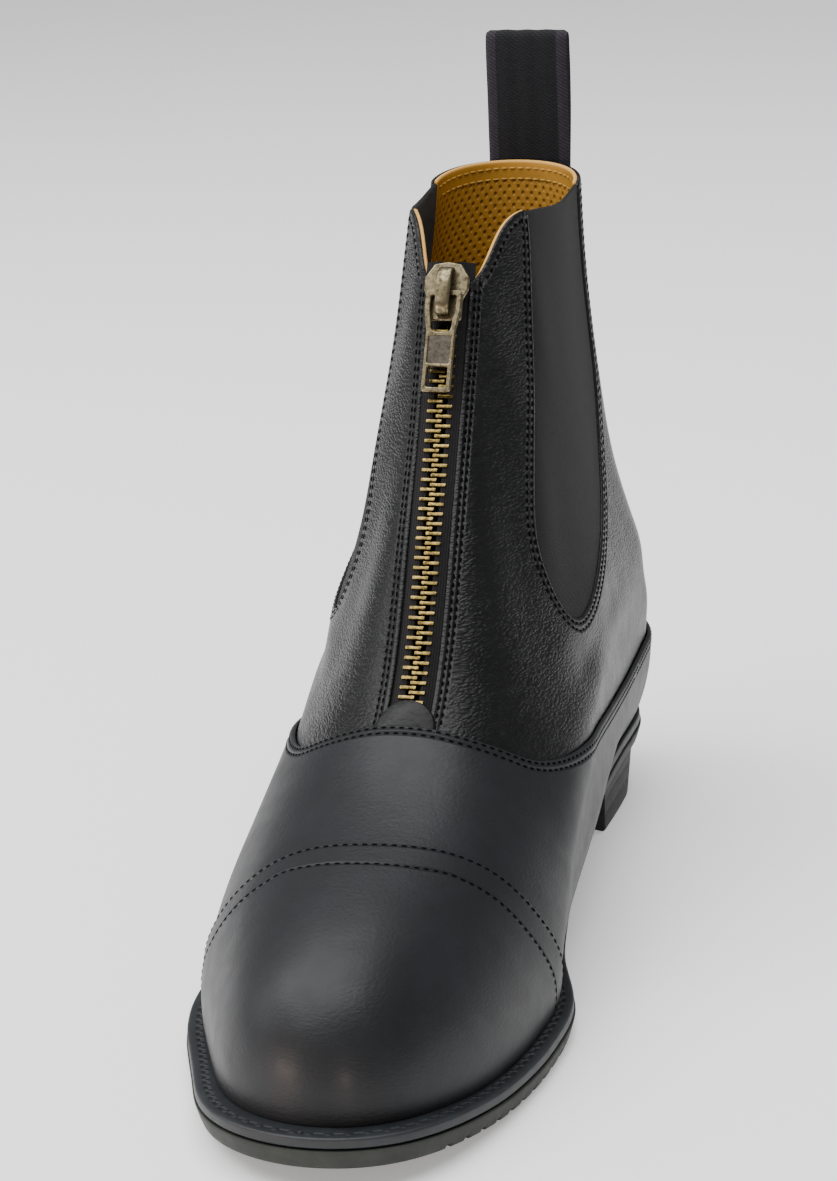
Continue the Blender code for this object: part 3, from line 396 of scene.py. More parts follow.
@dataclass(frozen=True)
class Crease:
    """A soft trough with a low ridge on each side, laid on one side of the boot."""

    side: int
    along: float
    up: float
    angle: float
    length: float
    width: float
    depth: float


CREASES: tuple[Crease, ...] = (
    # hollow beside the zip's placket, and the fold that runs down in front of the elastic
    Crease(1, 0.152, 0.108, 62, 0.034, 0.0075, 0.0011),
    Crease(-1, 0.150, 0.106, 62, 0.036, 0.0080, 0.0010),
    # folds round the ankle, under the tip of the elastic
    Crease(1, 0.168, 0.068, 8, 0.024, 0.0042, 0.0007),
    Crease(1, 0.190, 0.060, -12, 0.022, 0.0040, 0.0006),
    Crease(-1, 0.166, 0.067, 10, 0.024, 0.0042, 0.0008),
    Crease(-1, 0.192, 0.062, -10, 0.022, 0.0040, 0.0006),
    # the collar sinks a little between the zip and the elastic
    Crease(1, 0.180, 0.150, 80, 0.020, 0.0060, 0.0006),
    Crease(-1, 0.180, 0.150, 80, 0.020, 0.0060, 0.0006),
    # the heel's back is pressed in above the counter
    Crease(1, 0.248, 0.066, 5, 0.020, 0.0050, 0.0005),
    Crease(-1, 0.248, 0.066, -5, 0.020, 0.0050, 0.0005),
)


class Skin:
    """The dense outer form of the last, on a grid of rings and columns that closes on itself."""

    def __init__(self, last: Last, rings: int = 190, columns: int = 200) -> None:
        """Lay the grid out, press the creases in and find its normals.

        Args:
            last: The form.
            rings: Rings up the boot.
            columns: Columns on each side.
        """
        self.last = last
        self.rings, self.columns = rings, 2 * columns
        chord = (1 - np.cos(np.linspace(0, math.pi, columns + 1))) / 2
        start, end = last.ridge[0], last.back[0]
        grid = []
        for share in np.linspace(0, 1, rings + 1):
            front = [np.interp(share * last.ridge_lengths[-1], last.ridge_lengths, c)
                     for c in last.ridge.T]
            rear = [np.interp(share * last.back_lengths[-1], last.back_lengths, c)
                    for c in last.back.T]
            along = front[0] + (rear[0] - front[0]) * chord
            up = front[1] + (rear[1] - front[1]) * chord
            below = start[0] + (end[0] - start[0]) * chord
            level = start[1] + (end[1] - start[1]) * chord
            up = up + (last.feather(below) - level) * (1 - share) ** 3
            middle = last.centre(along, up)
            medial = middle + last.half_width(Side.MEDIAL, along, up)
            lateral = middle - last.half_width(Side.LATERAL, along, up)
            grid.append(np.stack([np.concatenate([medial, lateral[-2:0:-1]]),
                                  np.concatenate([along, along[-2:0:-1]]),
                                  np.concatenate([up, up[-2:0:-1]])], 1))
        self.flat = np.array(grid)
        self.points = self.flat.copy()
        self.normals = self._normals()
        self.points = self.points + self.normals * self._creases()[..., None]
        self.normals = self._normals()

    def _normals(self) -> np.ndarray:
        """Outward unit normals of the grid.

        Returns:
            Normals, one for each point.
        """
        around = np.roll(self.points, -1, axis=1) - np.roll(self.points, 1, axis=1)
        rise = np.gradient(self.points, axis=0)
        normal = np.cross(around, rise)
        return normal / np.maximum(np.linalg.norm(normal, axis=2, keepdims=True), 1e-12)

    def _creases(self) -> np.ndarray:
        """Depth of the listed creases at every point of the grid.

        Returns:
            Heights along the normal.
        """
        x, along, up = self.flat[..., 0], self.flat[..., 1], self.flat[..., 2]
        off = x - self.last.centre(along, up)
        total = np.zeros_like(x)
        for c in CREASES:
            turn = math.radians(c.angle)
            du, dv = along - c.along, up - c.up
            run = du * math.cos(turn) + dv * math.sin(turn)
            across = -du * math.sin(turn) + dv * math.cos(turn)
            fade = np.exp(-(run / c.length) ** 2) * smoothstep(off * c.side, 0.003, 0.012)
            trough = -np.exp(-(across / c.width) ** 2)
            ridge = 0.45 * np.exp(-((np.abs(across) - 1.9 * c.width) / (0.9 * c.width)) ** 2)
            total += c.depth * fade * (trough + ridge)
        return total

    def side_distance(self, outline: np.ndarray, skew: float = 0.0) -> np.ndarray:
        """Distance to a closed side view outline.

        Args:
            outline: Closed polygon of (along, up).
            skew: Shift of the outline along per metre sideways.

        Returns:
            The signed distance on the grid, positive inside the outline.
        """
        flat = np.stack([self.flat[..., 1] - skew * self.flat[..., 0], self.flat[..., 2]], -1)
        probe = flat.reshape(-1, 2)
        best = np.full(len(probe), np.inf)
        inside = np.zeros(len(probe), bool)
        for a, b in zip(outline, np.roll(outline, -1, axis=0)):
            edge = b - a
            t = np.clip((probe - a) @ edge / max(edge @ edge, 1e-18), 0, 1)
            best = np.minimum(best, np.linalg.norm(probe - a - t[:, None] * edge, axis=1))
            crosses = (a[1] > probe[:, 1]) != (b[1] > probe[:, 1])
            where = a[0] + (probe[:, 1] - a[1]) / (edge[1] if edge[1] else 1e-18) * edge[0]
            inside ^= crosses & (probe[:, 0] < where)
        signed = np.where(inside, best, -best).reshape(flat.shape[:2])
        return self.field(signed)

    def field(self, raw: np.ndarray) -> np.ndarray:
        """Turn a level function into distance measured along the leather.

        Args:
            raw: Level function on the grid.

        Returns:
            The signed distance on the grid.
        """
        du = (np.roll(self.flat, -1, axis=1) - np.roll(self.flat, 1, axis=1)) / 2
        dv = np.gradient(self.flat, axis=0)
        gu = (np.roll(raw, -1, axis=1) - np.roll(raw, 1, axis=1)) / 2
        gv = np.gradient(raw, axis=0)
        e, f, g = (du * du).sum(-1), (du * dv).sum(-1), (dv * dv).sum(-1)
        slope = (gu * gu * g - 2 * gu * gv * f + gv * gv * e) / np.maximum(e * g - f * f, 1e-18)
        # the clip keeps the distance steady where the skin is nearly flat to the function
        return raw / np.clip(np.sqrt(np.maximum(slope, 0)), 0.25, 1.6)

    def sideways(self) -> np.ndarray:
        """Distance sideways from the middle line, signed."""
        return self.flat[..., 0] - self.last.centre(self.flat[..., 1], self.flat[..., 2])


@dataclass
class Outlines:
    """Closed side view outlines of the pieces, in the last's frame."""

    last: Last
    reach: float = 0.05

    def _curve(self, table: Table, up_size: float, samples: int, start: float = 0.0
               ) -> np.ndarray:
        """Smooth curve through a table of shares, measured from a start to the heel."""
        run = self.last.size.length - start
        return path([(start + a * run, u * up_size) for a, u in table], samples)[1]

    def vamp(self) -> np.ndarray:
        """Vamp with its wings round the heel.

        Returns:
            Closed polygon of (along, up).
        """
        line = self._curve(self.last.table.vamp, self.last.size.instep_height, 90,
                           self.last.size.zip_foot)
        end, r = line[-1], self.reach
        return np.vstack([line, [end[0] + r, end[1]], [end[0] + r, -r], [-r, -r],
                          [-r, line[0][1] + r], [line[0][0], line[0][1] + r]])

    def cap(self) -> np.ndarray:
        """Toe cap.

        Returns:
            Closed polygon of (along, up).
        """
        line = self._curve(self.last.table.cap, self.last.size.instep_height, 60)
        r = self.reach
        return np.vstack([line, [line[-1][0], -r], [-r, -r], [-r, 2 * r + line[0][1]],
                          [line[0][0], 2 * r + line[0][1]]])

    def gore(self) -> np.ndarray:
        """Elastic side panel."""
        return self._curve(self.last.table.gore, self.last.size.collar_height, 110)

    def below_collar(self) -> np.ndarray:
        """Everything under the collar's edge.

        Returns:
            Closed polygon of (along, up).
        """
        line = self._curve(self.last.table.collar, self.last.size.collar_height, 90)
        r = self.reach
        return np.vstack([line, [line[-1][0] + r, line[-1][1]], [line[-1][0] + r, -r],
                          [-r, -r], [-r, line[0][1]]])


@dataclass
class Patch:
    """What is left of the skin inside a region, with its edges snapped to the region's."""

    points: np.ndarray
    normals: np.ndarray
    faces: list[tuple[int, ...]]
    values: dict[str, np.ndarray]
    uv: np.ndarray

    @classmethod
    def cut(cls, skin: Skin, region: np.ndarray, extra: dict[str, np.ndarray]) -> "Patch":
        """Cut the skin to where a level function is positive.

        Args:
            skin: The skin.
            region: Level function on its grid.
            extra: Further functions on the grid to carry along.

        Returns:
            The patch.
        """
        level = region.copy()
        points, normals = skin.points.copy(), skin.normals.copy()
        carried = {name: values.copy() for name, values in extra.items()}
        rows, columns = level.shape
        best = np.full(level.shape, 0.5)
        target = np.full(level.shape + (2,), -1, int)
        share = np.zeros(level.shape)
        index_i, index_j = np.indices(level.shape)
        for di, dj in ((0, 1), (0, -1), (1, 0), (-1, 0)):
            ni, nj = index_i + di, (index_j + dj) % columns
            valid = (ni >= 0) & (ni < rows)
            ni = np.clip(ni, 0, rows - 1)
            other = level[ni, nj]
            crosses = valid & ((level > 0) != (other > 0))
            t = np.where(crosses, level / np.where(crosses, level - other, 1), 1.0)
            nearer = crosses & (t < best)
            best = np.where(nearer, t, best)
            share = np.where(nearer, t, share)
            target[nearer] = np.stack([ni, nj], -1)[nearer]
        moved = target[..., 0] >= 0
        ti, tj = target[moved][:, 0], target[moved][:, 1]
        t = share[moved][:, None]
        points[moved] = skin.points[moved] * (1 - t) + skin.points[ti, tj] * t
        normals[moved] = skin.normals[moved] * (1 - t) + skin.normals[ti, tj] * t
        for name, values in carried.items():
            values[moved] = (extra[name][moved] * (1 - t[:, 0]) + extra[name][ti, tj] * t[:, 0])
        keep = (level > 0) | moved
        a = np.arange(rows - 1)[:, None] * columns + np.arange(columns)[None, :]
        right = np.arange(rows - 1)[:, None] * columns + (np.arange(columns)[None, :] + 1) % columns
        corners = np.stack([a, right, right + columns, a + columns], -1).reshape(-1, 4)
        flags = keep.reshape(-1)[corners]
        strict = (level > 0).reshape(-1)[corners].sum(1)
        count = flags.sum(1)
        faces = [tuple(c) for c in corners[(count == 4) & (strict > 0)]]
        cut_off = (count == 3) & (strict > 0)
        for quad, flag in zip(corners[cut_off], flags[cut_off]):
            faces.append(tuple(quad[flag]))
        used = np.unique(np.concatenate([np.array(f) for f in faces]))
        remap = np.full(rows * columns, -1)
        remap[used] = np.arange(len(used))
        faces = [tuple(int(remap[i]) for i in f) for f in faces]
        around = np.concatenate([[0], np.cumsum(np.linalg.norm(
            np.diff(skin.flat[rows // 2], axis=0), axis=1))])
        rise = np.concatenate([[0], np.cumsum(np.linalg.norm(
            np.diff(skin.flat[:, columns // 4], axis=0), axis=1))])
        uv = np.stack(np.meshgrid(around, rise), -1).reshape(-1, 2)[used]
        normal = normals.reshape(-1, 3)[used]
        normal /= np.linalg.norm(normal, axis=1, keepdims=True)
        return cls(points.reshape(-1, 3)[used], normal, faces,
                   {name: values.reshape(-1)[used] for name, values in carried.items()}, uv)

    def turned(self) -> "Patch":
        """The same patch facing the other way."""
        return Patch(self.points, -self.normals, [face[::-1] for face in self.faces],
                     self.values, self.uv)

    def boundary(self) -> list[tuple[int, int]]:
        """Directed edges that only one face has.

        Returns:
            Pairs of vertex numbers.
        """
        seen: dict[tuple[int, int], tuple[int, int]] = {}
        for face in self.faces:
            for a, b in zip(face, face[1:] + face[:1]):
                key = (a, b) if a < b else (b, a)
                if key in seen:
                    seen.pop(key)
                else:
                    seen[key] = (a, b)
        return list(seen.values())


def add_mesh(name: str, vertices: np.ndarray, faces: Sequence[Sequence[int]],
             material: bpy.types.Material, values: Optional[dict[str, np.ndarray]] = None,
             uv: Optional[np.ndarray] = None, body: str = BODY, sharp: float = 60.0
             ) -> bpy.types.Object:
    """Mesh object that rides on a body.

    Args:
        name: Object name.
        vertices: Points in the world frame.
        faces: Faces by vertex.
        material: Its material.
        values: Point attributes to store.
        uv: Texture coordinates per vertex, in metres.
        body: CAD body it moves with.
        sharp: Angle in degrees above which an edge is shaded sharp.

    Returns:
        The object.
    """
    mesh = bpy.data.meshes.new(name)
    mesh.from_pydata([tuple(v) for v in np.asarray(vertices, float)], [], [tuple(f) for f in faces])
    mesh.materials.append(material)
    for key, data in (values or {}).items():
        layer = mesh.attributes.new(key, "FLOAT", "POINT")
        layer.data.foreach_set("value", np.asarray(data, np.float32))
    if uv is not None:
        layer = mesh.uv_layers.new(name="UVMap")
        loops = np.zeros(len(mesh.loops), np.int32)
        mesh.loops.foreach_get("vertex_index", loops)
        layer.data.foreach_set("uv", np.asarray(uv, np.float32)[loops].reshape(-1))
    mesh.shade_smooth()
    mesh.set_sharp_from_angle(angle=math.radians(sharp))
    obj = bpy.data.objects.new(name, mesh)
    bpy.context.scene.collection.objects.link(obj)
    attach(obj, body)
    LOG.info("%s: %d faces", name, len(mesh.polygons))
    return obj


@dataclass
class Leather:
    """Builds one leather, elastic or lining piece out of a patch of skin."""

    name: str
    material: bpy.types.Material
    height: float
    edge: float = 0.0008
    steps: int = 4
    inner: Optional[float] = None

    def build(self, skin: Skin, patch: Patch) -> bpy.types.Object:
        """Raise the patch to its height and round its edges off.

        Args:
            skin: The skin it was cut from.
            patch: The patch.

        Returns:
            The object.
        """
        vertices = [patch.points + patch.normals * self.height]
        faces = list(patch.faces)
        values = {key: [data] for key, data in patch.values.items()}
        uv = [patch.uv]
        out, order = self._outward(patch)
        floor = self.inner if self.inner is not None else self.height - self.edge - 0.0002
        ring_index = {vertex: k for k, vertex in enumerate(order)}
        base = np.array(order)
        previous = base
        total = len(patch.points)
        depth = self.height - floor
        # a rim with an inner face turns through half a circle, one that ends in the
        # leather under it through a quarter
        halves = 2 if self.inner is None else 1
        for step in range(1, self.steps + 1):
            turn = math.pi / halves * step / self.steps
            side, drop = math.sin(turn) * self.edge, (1 - math.cos(turn)) / (3 - halves) * depth
            vertices.append(patch.points[base] + patch.normals[base] * (self.height - drop)
                            + out * side)
            for key, data in patch.values.items():
                values[key].append(data[base])
            uv.append(patch.uv[base])
            current = np.arange(total, total + len(base))
            for a, b in self.edges:
                p, q = ring_index[a], ring_index[b]
                faces.append((int(previous[q]), int(previous[p]), int(current[p]), int(current[q])))
            previous = current
            total += len(base)
        return add_mesh(self.name, skin.last.world(np.vstack(vertices)), faces, self.material,
                        {key: np.concatenate(data) for key, data in values.items()},
                        np.vstack(uv))

    def _outward(self, patch: Patch) -> tuple[np.ndarray, list[int]]:
        """Direction in the leather away from the piece at each edge vertex, and their order.

        Args:
            patch: The patch.

        Returns:
            The directions and the edge's vertices in order.
        """
        self.edges = patch.boundary()
        order = sorted({v for edge in self.edges for v in edge})
        index = {vertex: k for k, vertex in enumerate(order)}
        out = np.zeros((len(order), 3))
        for a, b in self.edges:
            along = patch.points[b] - patch.points[a]
            away = np.cross(along, patch.normals[a] + patch.normals[b])
            for v in (a, b):
                out[index[v]] += away / max(np.linalg.norm(away), 1e-12)
        return out / np.maximum(np.linalg.norm(out, axis=1, keepdims=True), 1e-9), order


def level_lines(skin: Skin, values: np.ndarray, mask: np.ndarray) -> list[np.ndarray]:
    """Lines on the skin where a function is zero.

    Args:
        skin: The skin.
        values: Function on its grid.
        mask: Function that must be positive along the line.

    Returns:
        Lines as arrays of points and normals, six numbers a row.
    """
    columns = values.shape[1]
    data = np.concatenate([skin.points, skin.normals], -1)
    found: dict[tuple[int, int, int], np.ndarray] = {}

    def crossing(i: int, j: int, k: int) -> tuple[int, int, int]:
        """Key of the crossing on the edge that leaves a grid point along k.

        Args:
            i: Row.
            j: Column.
            k: 0 for the edge along the ring, 1 for the edge up.

        Returns:
            The key.
        """
        key = (i, j % columns, k)
        if key not in found:
            oi, oj = (i, (j + 1) % columns) if k == 0 else (i + 1, j % columns)
            a, b = values[i, j % columns], values[oi, oj]
            t = a / (a - b)
            found[key] = data[i, j % columns] * (1 - t) + data[oi, oj] * t
        return key

    sign = values > 0
    right, up = np.roll(sign, -1, axis=1), np.vstack([sign[1:], sign[-1:]])
    both = np.roll(up, -1, axis=1)
    mixed = ~((sign == right) & (sign == up) & (sign == both)) & (mask > 0)
    mixed[-1] = False
    links: dict[tuple, list[tuple]] = {}
    for i, j in zip(*np.nonzero(mixed)):
        keys = []
        if sign[i, j] != right[i, j]:
            keys.append(crossing(i, j, 0))
        if right[i, j] != both[i, j]:
            keys.append(crossing(i, (j + 1) % columns, 1))
        if up[i, j] != both[i, j]:
            keys.append(crossing(i + 1, j, 0))
        if sign[i, j] != up[i, j]:
            keys.append(crossing(i, j, 1))
        for a, b in zip(keys[::2], keys[1::2]):
            links.setdefault(a, []).append(b)
            links.setdefault(b, []).append(a)
    lines = []
    while links:
        ends = [k for k, v in links.items() if len(v) == 1]
        here = min(ends) if ends else min(links)
        line = [here]
        while links.get(here):
            there = links[here].pop()
            if not links[here]:
                links.pop(here)
            links[there].remove(here)
            if not links[there]:
                links.pop(there)
            line.append(there)
            here = there
            if here not in links:
                break
        if len(line) > 4:
            lines.append(np.array([found[key] for key in line]))
    return lines


@dataclass
class Thread:
    """Rows of stitches laid along lines on the skin, all of one piece in one mesh."""

    name: str
    material: bpy.types.Material
    pitch: float = 0.0021
    length: float = 0.0015
    width: float = 0.00052
    sides: int = 6

    def build(self, skin: Skin, rows: Sequence[tuple[list[np.ndarray], float]]) -> None:
        """Lay one stitch after another along each line.

        Args:
            skin: The skin the lines are on.
            rows: Lines with the height of the leather they are sewn through.
        """
        vertices, faces = [], []
        stations = ((-0.5, 0.35), (-0.38, 0.85), (0.0, 1.0), (0.38, 0.85), (0.5, 0.35))
        for lines, height in rows:
            for line in lines:
                steps = np.linalg.norm(np.diff(line[:, :3], axis=0), axis=1)
                run = np.concatenate([[0], np.cumsum(steps)])
                for place in np.arange(self.pitch, run[-1] - self.pitch / 2, self.pitch):
                    at = [np.array([np.interp(place + d, run, c) for c in line.T])
                          for d in (-self.length / 2, 0, self.length / 2)]
                    ahead = at[2][:3] - at[0][:3]
                    if np.linalg.norm(ahead) < self.length * 0.5:
                        continue
                    ahead = ahead / np.linalg.norm(ahead)
                    normal = at[1][3:] - ahead * (at[1][3:] @ ahead)
                    normal /= np.linalg.norm(normal)
                    across = np.cross(ahead, normal)
                    base = len(vertices)
                    for t, girth in stations:
                        middle = at[1][:3] + ahead * (t * self.length) \
                            + normal * (height + 0.00002 - (1 - girth) * 0.0004)
                        for k in range(self.sides):
                            turn = 2 * math.pi * k / self.sides
                            vertices.append(middle + self.width / 2 * girth * (
                                across * math.cos(turn) + normal * (0.62 * math.sin(turn))))
                    for s in range(len(stations) - 1):
                        for k in range(self.sides):
                            n = (k + 1) % self.sides
                            a = base + s * self.sides
                            faces.append((a + k, a + n, a + self.sides + n, a + self.sides + k))
        if vertices:
            add_mesh(self.name, skin.last.world(np.array(vertices)), faces, self.material)


# Materials


def linear(colour: str) -> tuple[float, float, float, float]:
    """Turn an sRGB hex colour into the linear one that a shader takes."""
    parts = [int(colour[i:i + 2], 16) / 255 for i in (1, 3, 5)]
    return (*[c / 12.92 if c <= 0.04045 else ((c + 0.055) / 1.055) ** 2.4 for c in parts], 1.0)


class Shader:
    """A Principled material that is built up node by node."""

    def __init__(self, name: str, colour: str, roughness: float, metallic: float = 0.0,
                 specular: float = 0.5) -> None:
        """Start a material with its plain values.

        Args:
            name: Material name.
            colour: sRGB hex.
            roughness: Roughness.
            metallic: Share of metal.
            specular: Level of the plain reflection.
        """
        self.material = bpy.data.materials.new(name)
        self.material.use_nodes = True
        self.tree = self.material.node_tree
        self.bsdf = self.tree.nodes["Principled BSDF"]
        self.feed(self.bsdf, {"Base Color": linear(colour), "Roughness": roughness,
                              "Metallic": metallic, "Specular IOR Level": specular})
        self.position = self.add("NewGeometry")
        self.normal: Optional[bpy.types.NodeSocket] = None

    def feed(self, node: bpy.types.Node, inputs: dict | Sequence) -> None:
        """Set or link a node's inputs.

        Args:
            node: The node.
            inputs: Values or sockets, by input name or number, or in order.
        """
        for key, value in inputs.items() if isinstance(inputs, dict) else enumerate(inputs):
            if isinstance(value, bpy.types.NodeSocket):
                self.tree.links.new(value, node.inputs[key])
            else:
                node.inputs[key].default_value = value

    def add(self, kind: str, inputs: dict | Sequence = (), out: int | str = 0,
            **settings: object) -> bpy.types.NodeSocket:
        """Add a node with its settings and links.

        Args:
            kind: Node type without its prefix. A texture reads the world position unless told.
            inputs: Values or sockets, by input name or number, or in order.
            out: Output that is wanted.
            settings: Attributes of the node.

        Returns:
            The wanted output.
        """
        node = self.tree.nodes.new("ShaderNode" + kind)
        for key, value in settings.items():
            setattr(node, key, value)
        if kind.startswith("Tex"):
            inputs = {"Vector": self.position, **inputs}
        self.feed(node, inputs)
        return node.outputs[out]

    def relief(self, height: bpy.types.NodeSocket, depth: float, strength: float = 1.0) -> None:
        """Lay a relief over the ones before it.

        Args:
            height: Height from 0 to 1.
            depth: Depth in metres.
            strength: Share of it.
        """
        under = {} if self.normal is None else {"Normal": self.normal}
        self.normal = self.add("Bump", {"Height": height, "Distance": depth,
                                        "Strength": strength, **under})

    def tint(self, colours: tuple[str, str], factor: bpy.types.NodeSocket) -> None:
        """Mix the base colour from two sRGB hex colours by a factor.

        Args:
            colours: Two sRGB hex colours.
            factor: Share of the second.
        """
        mixed = self.add("Mix", {0: factor, 6: linear(colours[0]), 7: linear(colours[1])}, 2,
                         data_type="RGBA")
        self.feed(self.bsdf, {"Base Color": mixed})

    def vary(self, share: bpy.types.NodeSocket, low: float, high: float) -> None:
        """Vary the roughness between two values by a share from 0 to 1."""
        self.feed(self.bsdf, {"Roughness": self.add("MapRange", (share, 0.0, 1.0, low, high))})

    def groove(self, name: str, places: Sequence[float], width: float) -> bpy.types.NodeSocket:
        """One at the given distances from an edge, falling to zero within a width.

        Args:
            name: Attribute that holds the distance.
            places: Distances of the grooves.
            width: Half width of a groove.

        Returns:
            The value.
        """
        distance = self.add("Attribute", out="Fac", attribute_name=name)
        total: object = 0.0
        for place in places:
            step: object = distance
            for operation, first, second in (("SUBTRACT", None, place), ("ABSOLUTE", None, 0.0),
                                             ("DIVIDE", None, width), ("SUBTRACT", 1.0, None),
                                             ("MAXIMUM", total, None)):
                pair = (step if first is None else first, step if second is None else second)
                step = self.add("Math", pair, operation=operation)
            total = step
        return total

    def finish(self) -> bpy.types.Material:
        """Link the relief and return the material.

        Returns:
            The material.
        """
        if self.normal is not None:
            self.feed(self.bsdf, {"Normal": self.normal})
        return self.material


@dataclass(frozen=True)
class LeatherFinish:
    """Dyed full-grain leather, near black, under a thin coat that gives a soft sheen."""

    name: str
    colour: str
    worn: str
    roughness: float
    shine: float
    coat: float
    grain: float
    pebble: float
    stitch_rows: tuple[tuple[str, tuple[float, ...]], ...]

    def make(self) -> bpy.types.Material:
        """Build the material: pebbles, pores, stitch grooves and a dusty bloom.

        Returns:
            The material.
        """
        s = Shader(self.name, self.colour, self.roughness, specular=self.shine)
        s.feed(s.bsdf, {"Coat Weight": self.coat, "Coat Roughness": 0.24})
        stretched = s.add("Mapping", {"Vector": s.position, "Scale": (0.58, 0.58, 1.25),
                                      "Rotation": (0.0, 0.5, 0.3)})
        wobble = s.add("TexNoise", {"Vector": stretched, "Scale": 300.0}, "Color")
        warped = s.add("Mix", {0: 0.0022, 4: stretched, 5: wobble}, 1, data_type="VECTOR")
        # pebbles of the milled grain about 0.6 mm high and 1.3 mm wide: they break up the sheen
        cells = s.add("TexVoronoi", {"Vector": warped, "Scale": self.grain})
        pebbles = s.add("MapRange", (cells, 0.05, 0.75, 1.0, 0.0))
        patches = s.add("MapRange", (s.add("TexNoise", {"Scale": 32.0, "Detail": 3.0}),
                                     0.30, 0.70, 0.25, 1.0))
        s.relief(s.add("Math", (pebbles, patches), operation="MULTIPLY"), self.pebble)
        # pores and fine hair cells, 0.4 by 0.8 mm
        s.relief(s.add("TexNoise", {"Vector": stretched, "Scale": 2100.0, "Detail": 3.0}),
                 0.00005, 0.8)
        # slow hand-lasted unevenness that bends the reflections
        s.relief(s.add("TexNoise", {"Scale": 45.0}), 0.0011, 0.35)
        for name, places in self.stitch_rows:
            s.relief(s.add("Math", (1.0, s.groove(name, places, 0.0007)), operation="SUBTRACT"),
                     0.00040)
        bloom = s.add("TexNoise", {"Scale": 60.0, "Detail": 5.0, "Roughness": 0.65})
        s.tint((self.colour, self.worn), s.add("MapRange", (bloom, 0.40, 0.75, 0.0, 1.0)))
        s.vary(s.add("TexNoise", {"Scale": 180.0, "Detail": 4.0}), self.roughness - 0.07,
               self.roughness + 0.09)
        return s.finish()


@dataclass(frozen=True)
class LiningFinish:
    """Ochre pigskin-type lining, pressed with staggered dimples: matte, with painted shade in its
    pits.
    """

    name: str = "lining_leather_embossed"
    colour: str = "#8a5c08"
    worn: str = "#a87820"
    dark: str = "#7a5010"
    rim: str = "#cfa056"

    def make(self) -> bpy.types.Material:
        """Build the material from dimples in the lining's own texture coordinates.

        Returns:
            The material.
        """
        s = Shader(self.name, self.colour, 0.62, specular=0.3)
        turned = s.add("Mapping", {"Vector": s.add("UVMap"),
                                   "Rotation": (0, 0, math.radians(45))})
        collar, slot = (s.add("Attribute", out="Fac", attribute_name=name)
                        for name in ("collar", "slot"))
        # dimples 2.9 mm apart in staggered rows, none in the smooth band under the collar
        dots = s.add("TexVoronoi", {"Vector": turned, "Scale": 340.0, "Randomness": 0.0})
        dish = s.add("Math", (s.add("MapRange", (dots, 0.05, 0.34, 0.0, 1.0)),
                              s.add("MapRange", (collar, 0.0050, 0.0058, 1.0, 0.0))),
                     operation="MAXIMUM")
        s.relief(dish, 0.00035)
        s.relief(s.add("TexNoise", {"Scale": 1800.0, "Detail": 3.0}), 0.00005)
        mottle = s.add("MapRange", (s.add("TexNoise", {"Scale": 70.0, "Detail": 3.0}),
                                    0.3, 0.7, 0.6, 1.0))
        # colour: dark in the middle of each dimple and lighter between them, painted shade in the
        # pits, with a random mottle over it
        shade = s.add("Math", (dish, mottle), operation="MULTIPLY")
        # the cut edge of the leather, 0.8 mm wide, is paler
        near = s.add("Math", (collar, slot), operation="MINIMUM")
        bright = s.add("MapRange", (near, 0.00045, 0.0008, 1.0, 0.0))
        mixed = s.add("Mix", {0: shade, 6: linear(self.dark), 7: linear(self.worn)}, 2,
                      data_type="RGBA")
        edge = s.add("Mix", {0: bright, 6: mixed, 7: linear(self.rim)}, 2, data_type="RGBA")
        s.feed(s.bsdf, {"Base Color": edge})
        return s.finish()


@dataclass(frozen=True)
class ElasticFinish:
    """Woven elastic, nylon over rubber: fine ribs up the panel keep the black matte."""

    name: str = "elastic_woven_ribbed"

    def make(self) -> bpy.types.Material:
        """Build the material.

        Returns:
            The material.
        """
        s = Shader(self.name, "#17181a", 0.88, specular=0.12)
        s.feed(s.bsdf, {"Sheen Weight": 0.08, "Sheen Roughness": 0.5})
        turned = s.add("Mapping", {"Vector": s.position, "Rotation": (math.radians(-22), 0, 0)})
        # ribs 0.56 mm apart, with the weft of the weave across them every 0.45 mm
        ribs = s.add("TexWave", {"Vector": turned, "Scale": 560.0, "Distortion": 0.6,
                                 "Detail": 1.0, "Detail Scale": 2.0}, "Fac",
                     wave_type="BANDS", bands_direction="Y")
        weft = s.add("TexWave", {"Vector": turned, "Scale": 700.0, "Distortion": 0.8}, "Fac",
                     wave_type="BANDS", bands_direction="Z")
        s.relief(ribs, 0.00006)
        s.relief(weft, 0.00005)
        s.relief(s.add("TexNoise", {"Scale": 900.0, "Detail": 3.0}), 0.00005)
        lint = s.add("TexNoise", {"Scale": 400.0, "Detail": 3.0})
        # colour follows the ribs: the grooves between them are painted darker, painted shade, and
        # the crests take a lighter tone that varies at random with the lint noise
        s.tint(("#070809", "#101214"), s.add("Math", (ribs, lint), operation="MULTIPLY"))
        return s.finish()


